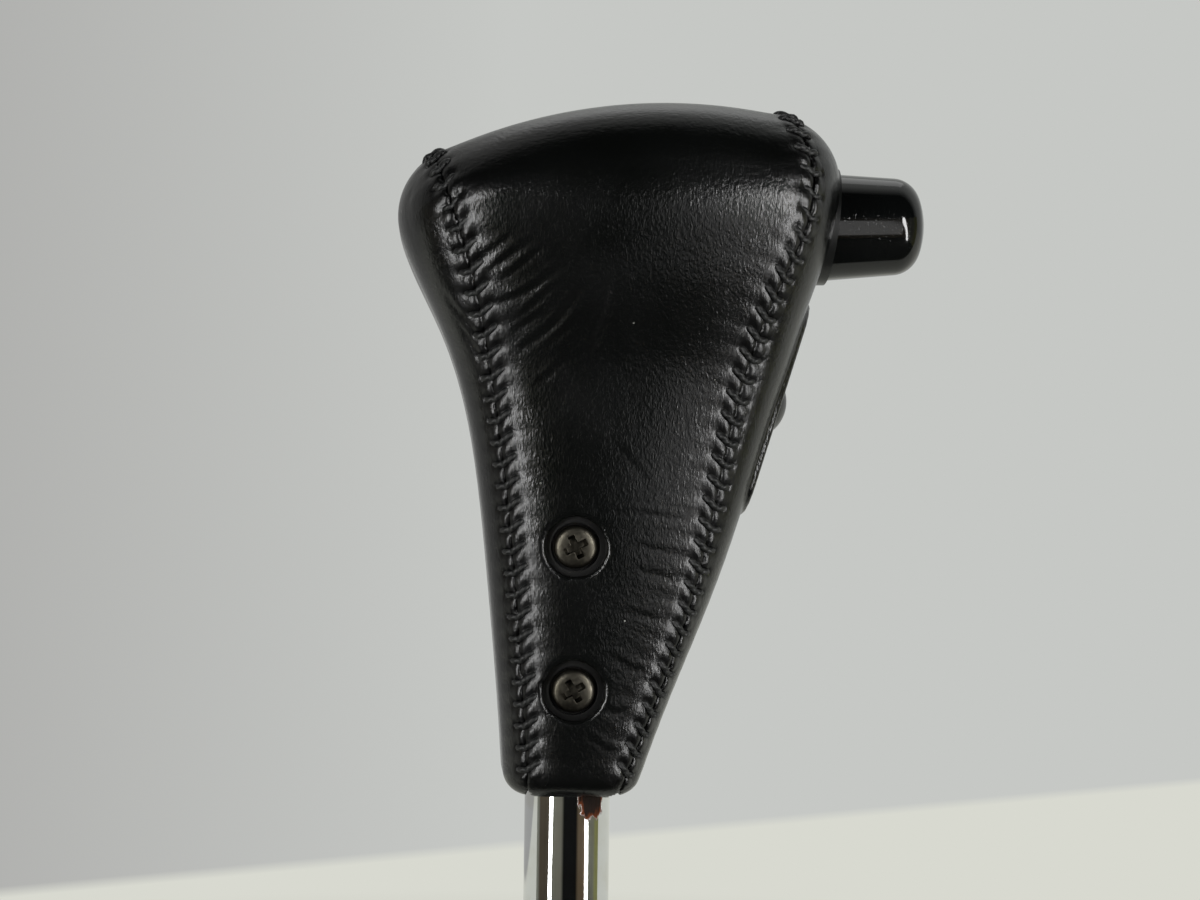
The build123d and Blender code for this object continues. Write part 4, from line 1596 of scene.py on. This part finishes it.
@dataclass
class Studio:
    """Pale floor and backdrop, a screen that only reflections show, panel lamps and the camera.

    The aim, the camera's distance and the paper's fibres are in millimetres, the rest is in metres.
    """

    aim: tuple[float, float, float] = (4.6, 0.0, 145.7)
    distance: float = 394.0
    lens: float = 72.0
    sensor: float = 36.0
    clip_start: float = 0.01
    roll: float = 0.8
    yaw: float = 4.0
    floor_size: float = 4.0
    floor_melts: tuple[float, float] = (0.06, 0.4)
    floor_roughness: float = 0.8
    fibre: float = 30.0
    backdrop: str = "#c6c8c5"
    backdrop_left: str = "#acacaa"
    left_to_right: tuple[float, float] = (-0.22, 0.03)
    table: str = "#d8d9d0"
    table_fibre: str = "#dcddd3"
    table_slant: float = 0.566
    table_end: tuple[float, float] = (0.474, 0.496)
    room_high: str = "#070808"
    room_low: str = "#3a3731"
    room_rise: tuple[float, float] = (0.2, 0.32)
    room_behind: tuple[float, float] = (-0.25, 0.12)
    lamps: tuple[Lamp, ...] = (
        Lamp("left_panel", -38.0, -1.4, 0.34, 0.045, 0.3, 0.78, -26.0),
        Lamp("right_panel", 42.0, -1.4, 0.34, 0.05, 0.3, 0.85, 24.0),
        Lamp("right_fill", 22.0, 0.0, 0.33, 0.07, 0.17, 0.04, 8.0),
        Lamp("back_panel", 170.0, 58.0, 0.9, 0.6, 0.4, 0.5, 0.0),
    )
    screen_radius: float = 0.37
    screen_height: float = 0.27
    screen_steps: int = 96
    mat_start: float = 0.02
    mat_height: float = 0.001
    mat_tone: float = 0.04
    screen_tones: tuple[tuple[float, str], ...] = (
        (0.03, "#9a9a90"),
        (0.06, "#5d5346"),
        (0.2, "#5d5346"),
        (0.24, "#8d8a7e"),
        (0.4, "#8d8a7e"),
        (0.44, "#0a0a0a"),
        (0.62, "#0a0a0a"),
        (0.66, "#7c6a55"),
        (0.75, "#7c6a55"),
        (0.8, "#8d8c80"),
        (0.9, "#8d8c80"),
        (0.94, "#a3a36c"),
    )

    def build(self) -> None:
        """Sets the floor, the screen, the room, the lamps and the camera."""
        self.lay_floor()
        self.stand_screen()
        self.light_room()
        for lamp in self.lamps:
            self.hang(lamp)
        self.set_camera()
        bpy.context.scene.view_settings.view_transform = "Standard"

    def wall_tone(
        self, tree: bpy.types.NodeTree, sideways: bpy.types.NodeSocket
    ) -> bpy.types.NodeSocket:
        """Makes the backdrop's tone, greyer at the left.

        Args:
            tree: The floor's or the world's tree.
            sideways: How far to the right a line of sight goes, from -1 to 1.

        Returns:
            The output that carries the tone.
        """
        left, right = self.left_to_right
        to_right = add_node(
            tree, "ShaderNodeMapRange", None, {"Value": sideways, "From Min": left, "From Max": right}
        )
        return add_node(
            tree,
            "ShaderNodeMix",
            COLOURS,
            {0: to_right.outputs[0], 6: linear(self.backdrop_left), 7: linear(self.backdrop)},
        ).outputs[2]

    def lay_floor(self) -> None:
        """Lays the floor under the tube's foot; far off it melts into the table and the backdrop."""
        mesh = bmesh.new()
        bmesh.ops.create_grid(mesh, x_segments=1, y_segments=1, size=self.floor_size / 2)
        floor = new_piece("studio_floor", mesh)
        material, tree, shader = new_material("matt_paper")
        place = add_node(tree, "ShaderNodeTexCoord").outputs["Object"]
        fibres = add_node(
            tree,
            "ShaderNodeTexNoise",
            None,
            {"Vector": place, "Scale": 1 / (self.fibre * MM), "Detail": 5.0},
        )
        paper = add_node(
            tree,
            "ShaderNodeMix",
            COLOURS,
            {0: fibres.outputs[0], 6: linear(self.table), 7: linear(self.table_fibre)},
        )
        tree.links.new(paper.outputs[2], shader.inputs["Base Color"])
        shader.inputs["Roughness"].default_value = self.floor_roughness
        tone = self.far_tone(tree, place)
        glow = add_node(tree, "ShaderNodeEmission", None, {"Color": tone, "Strength": 1.0})
        mix = add_node(
            tree,
            "ShaderNodeMixShader",
            None,
            {0: self.melting(tree, place), 1: shader.outputs[0], 2: glow.outputs[0]},
        )
        tree.links.new(mix.outputs[0], tree.nodes["Material Output"].inputs["Surface"])
        floor.data.materials.append(material)

    def melting(
        self, tree: bpy.types.NodeTree, place: bpy.types.NodeSocket
    ) -> bpy.types.NodeSocket:
        """Makes how far the floor has melted: with distance, for the camera and for mirrors behind.

        Args:
            tree: The floor's tree.
            place: Places on the floor.

        Returns:
            The output that carries the share, from 0 to 1.
        """
        away = add_node(tree, "ShaderNodeVectorMath", {"operation": "LENGTH"}, {0: place})
        near, gone = self.floor_melts
        far = add_node(
            tree,
            "ShaderNodeMapRange",
            None,
            {"Value": away.outputs["Value"], "From Min": near, "From Max": gone},
        )
        rays = add_node(tree, "ShaderNodeLightPath")
        parts = add_node(tree, "ShaderNodeSeparateXYZ", None, {0: place})
        behind = add_node(
            tree, "ShaderNodeMath", {"operation": "GREATER_THAN"}, {0: parts.outputs[1], 1: 0.0}
        )
        mirrored = add_node(
            tree,
            "ShaderNodeMath",
            {"operation": "MAXIMUM"},
            {0: rays.outputs["Is Glossy Ray"], 1: rays.outputs["Is Transmission Ray"]},
        )
        mirrored_behind = add_node(
            tree,
            "ShaderNodeMath",
            {"operation": "MULTIPLY"},
            {0: mirrored.outputs[0], 1: behind.outputs[0]},
        )
        shown = add_node(
            tree,
            "ShaderNodeMath",
            {"operation": "MAXIMUM"},
            {0: rays.outputs["Is Camera Ray"], 1: mirrored_behind.outputs[0]},
        )
        return add_node(
            tree, "ShaderNodeMath", {"operation": "MULTIPLY"}, {0: shown.outputs[0], 1: far.outputs[0]}
        ).outputs[0]

    def far_tone(
        self, tree: bpy.types.NodeTree, place: bpy.types.NodeSocket
    ) -> bpy.types.NodeSocket:
        """Makes the tone far off: the table up to its slanting edge, and the backdrop beyond it.

        Args:
            tree: The floor's tree.
            place: Places on the floor.

        Returns:
            The output that carries the tone.
        """
        parts = add_node(tree, "ShaderNodeSeparateXYZ", None, {0: place})
        slant = add_node(
            tree,
            "ShaderNodeMath",
            {"operation": "MULTIPLY_ADD"},
            {0: parts.outputs[0], 1: -self.table_slant, 2: parts.outputs[1]},
        )
        edge, beyond = self.table_end
        fall = add_node(
            tree,
            "ShaderNodeMapRange",
            None,
            {"Value": slant.outputs[0], "From Min": edge, "From Max": beyond},
        )
        sight = add_node(
            tree, "ShaderNodeVectorMath", {"operation": "SUBTRACT"}, {0: place, 1: self.camera_place()}
        )
        way = add_node(tree, "ShaderNodeVectorMath", {"operation": "NORMALIZE"}, {0: sight.outputs[0]})
        sideways = add_node(tree, "ShaderNodeSeparateXYZ", None, {0: way.outputs[0]})
        wall = self.wall_tone(tree, sideways.outputs[0])
        return add_node(
            tree, "ShaderNodeMix", COLOURS, {0: fall.outputs[0], 6: linear(self.table), 7: wall}
        ).outputs[2]

    def stand_screen(self) -> None:
        """Stands a low toned screen and a dark mat on the camera's side, for the lever to mirror."""
        outline = (
            (self.mat_start, self.mat_height),
            (self.screen_radius, self.mat_height),
            (self.screen_radius, self.screen_height),
        )
        profile = [(-reach, 0.0, height) for reach, height in outline]
        mesh = spun(profile, (0.0, 0.0, 1.0), math.pi, self.screen_steps)
        screen = new_piece("studio_screen", mesh)
        material, tree, shader = new_material("toned_card")
        place = add_node(tree, "ShaderNodeTexCoord").outputs["Object"]
        parts = add_node(tree, "ShaderNodeSeparateXYZ", None, {0: place})
        ahead = add_node(
            tree, "ShaderNodeMath", {"operation": "MULTIPLY"}, {0: parts.outputs[1], 1: -1.0}
        )
        bearing = add_node(
            tree, "ShaderNodeMath", {"operation": "ARCTAN2"}, {0: parts.outputs[0], 1: ahead.outputs[0]}
        )
        share = add_node(
            tree,
            "ShaderNodeMapRange",
            None,
            {"Value": bearing.outputs[0], "From Min": -math.pi / 2, "From Max": math.pi / 2},
        )
        tones = add_node(tree, "ShaderNodeValToRGB", None, {0: share.outputs[0]})
        set_ramp(tones, list(self.screen_tones))
        upright = add_node(
            tree,
            "ShaderNodeMapRange",
            None,
            {
                "Value": parts.outputs[2],
                "From Min": self.mat_height,
                "From Max": 2 * self.mat_height,
                "To Min": self.mat_tone,
            },
        )
        toned = add_node(
            tree,
            "ShaderNodeVectorMath",
            {"operation": "SCALE"},
            {0: tones.outputs[0], "Scale": upright.outputs[0]},
        )
        tree.links.new(toned.outputs[0], shader.inputs["Base Color"])
        shader.inputs["Roughness"].default_value = 1.0
        screen.data.materials.append(material)
        screen.visible_camera = False
        screen.visible_diffuse = False
        screen.visible_shadow = False

    def light_room(self) -> None:
        """Lights the room: pale behind the lever, dim on the camera's side, darker high up."""
        world = bpy.data.worlds.new("studio_room")
        world.use_nodes = True
        bpy.context.scene.world = world
        tree = world.node_tree
        way = add_node(tree, "ShaderNodeTexCoord").outputs["Generated"]
        parts = add_node(tree, "ShaderNodeSeparateXYZ", None, {0: way})
        wall = self.wall_tone(tree, parts.outputs[0])
        low, high = self.room_rise
        upward = add_node(
            tree,
            "ShaderNodeMapRange",
            None,
            {"Value": parts.outputs[2], "From Min": low, "From Max": high},
        )
        room = add_node(
            tree,
            "ShaderNodeMix",
            COLOURS,
            {0: upward.outputs[0], 6: linear(self.room_low), 7: linear(self.room_high)},
        )
        front, back = self.room_behind
        behind = add_node(
            tree,
            "ShaderNodeMapRange",
            None,
            {"Value": parts.outputs[1], "From Min": front, "From Max": back},
        )
        around = add_node(
            tree, "ShaderNodeMix", COLOURS, {0: behind.outputs[0], 6: room.outputs[2], 7: wall}
        )
        rays = add_node(tree, "ShaderNodeLightPath")
        seen = add_node(
            tree,
            "ShaderNodeMix",
            COLOURS,
            {0: rays.outputs["Is Camera Ray"], 6: around.outputs[2], 7: wall},
        )
        tree.links.new(seen.outputs[2], tree.nodes["Background"].inputs["Color"])

    def hang(self, lamp: Lamp) -> None:
        """Hangs one lamp and turns it to the lever.

        Args:
            lamp: The lamp.
        """
        data = bpy.data.lights.new(lamp.name, "AREA")
        data.shape = "RECTANGLE"
        data.size = lamp.width
        data.size_y = lamp.height
        data.energy = lamp.watts
        bearing, rise = math.radians(lamp.bearing), math.radians(lamp.rise)
        level = math.cos(rise)
        way = Vector((math.sin(bearing) * level, -math.cos(bearing) * level, math.sin(rise)))
        panel = bpy.data.objects.new(lamp.name, data)
        panel.location = Vector(self.aim) * MM + way * lamp.distance
        leaning = Quaternion((0.0, 0.0, 1.0), math.radians(lamp.lean))
        panel.rotation_euler = (way.to_track_quat("Z", "Y") @ leaning).to_euler()
        panel.visible_camera = False
        bpy.context.scene.collection.objects.link(panel)

    def camera_turn(self) -> Matrix:
        """Gives the camera's turn: level, a little from the left and rolled.

        Returns:
            The rotation.
        """
        aimed = Euler((math.radians(90), 0.0, math.radians(-self.yaw))).to_matrix()
        return aimed @ Matrix.Rotation(math.radians(self.roll), 3, "Z")

    def camera_place(self) -> Vector:
        """Gives the camera's place.

        Returns:
            The place in metres.
        """
        back = self.camera_turn() @ Vector((0.0, 0.0, 1.0))
        return (Vector(self.aim) + back * self.distance) * MM

    def set_camera(self) -> None:
        """Places the camera in front of the screw side, level with the neck."""
        data = bpy.data.cameras.new("camera")
        data.sensor_width = self.sensor
        data.lens = self.lens
        data.clip_start = self.clip_start
        camera = bpy.data.objects.new("camera", data)
        turn = self.camera_turn()
        camera.matrix_world = Matrix.Translation(self.camera_place()) @ turn.to_4x4()
        bpy.context.scene.collection.objects.link(camera)
        bpy.context.scene.camera = camera


def main() -> None:
    """Builds and dresses the lever, and sets the studio."""
    logging.basicConfig(level=logging.INFO, format="%(name)s: %(message)s")
    wardrobe = Wardrobe()
    outer_seam = SeamLine.read("outer_seam_thread", THREAD_LIFT)
    button_seam = SeamLine.read("button_seam_thread", THREAD_LIFT)
    LeatherCover(wardrobe, outer_seam, button_seam).build()
    threads = SeamThreads(wardrobe)
    threads.build("outer_seam_stitches", "outer_seam_thread", outer_seam)
    threads.build("button_seam_stitches", "button_seam_thread", button_seam)
    GripScrews(wardrobe).build()
    LeverTube(wardrobe).dress()
    GripWorks(wardrobe).dress()
    CoilSprings(wardrobe).build()
    Studio().build()
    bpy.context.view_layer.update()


if __name__ == "__main__":
    main()
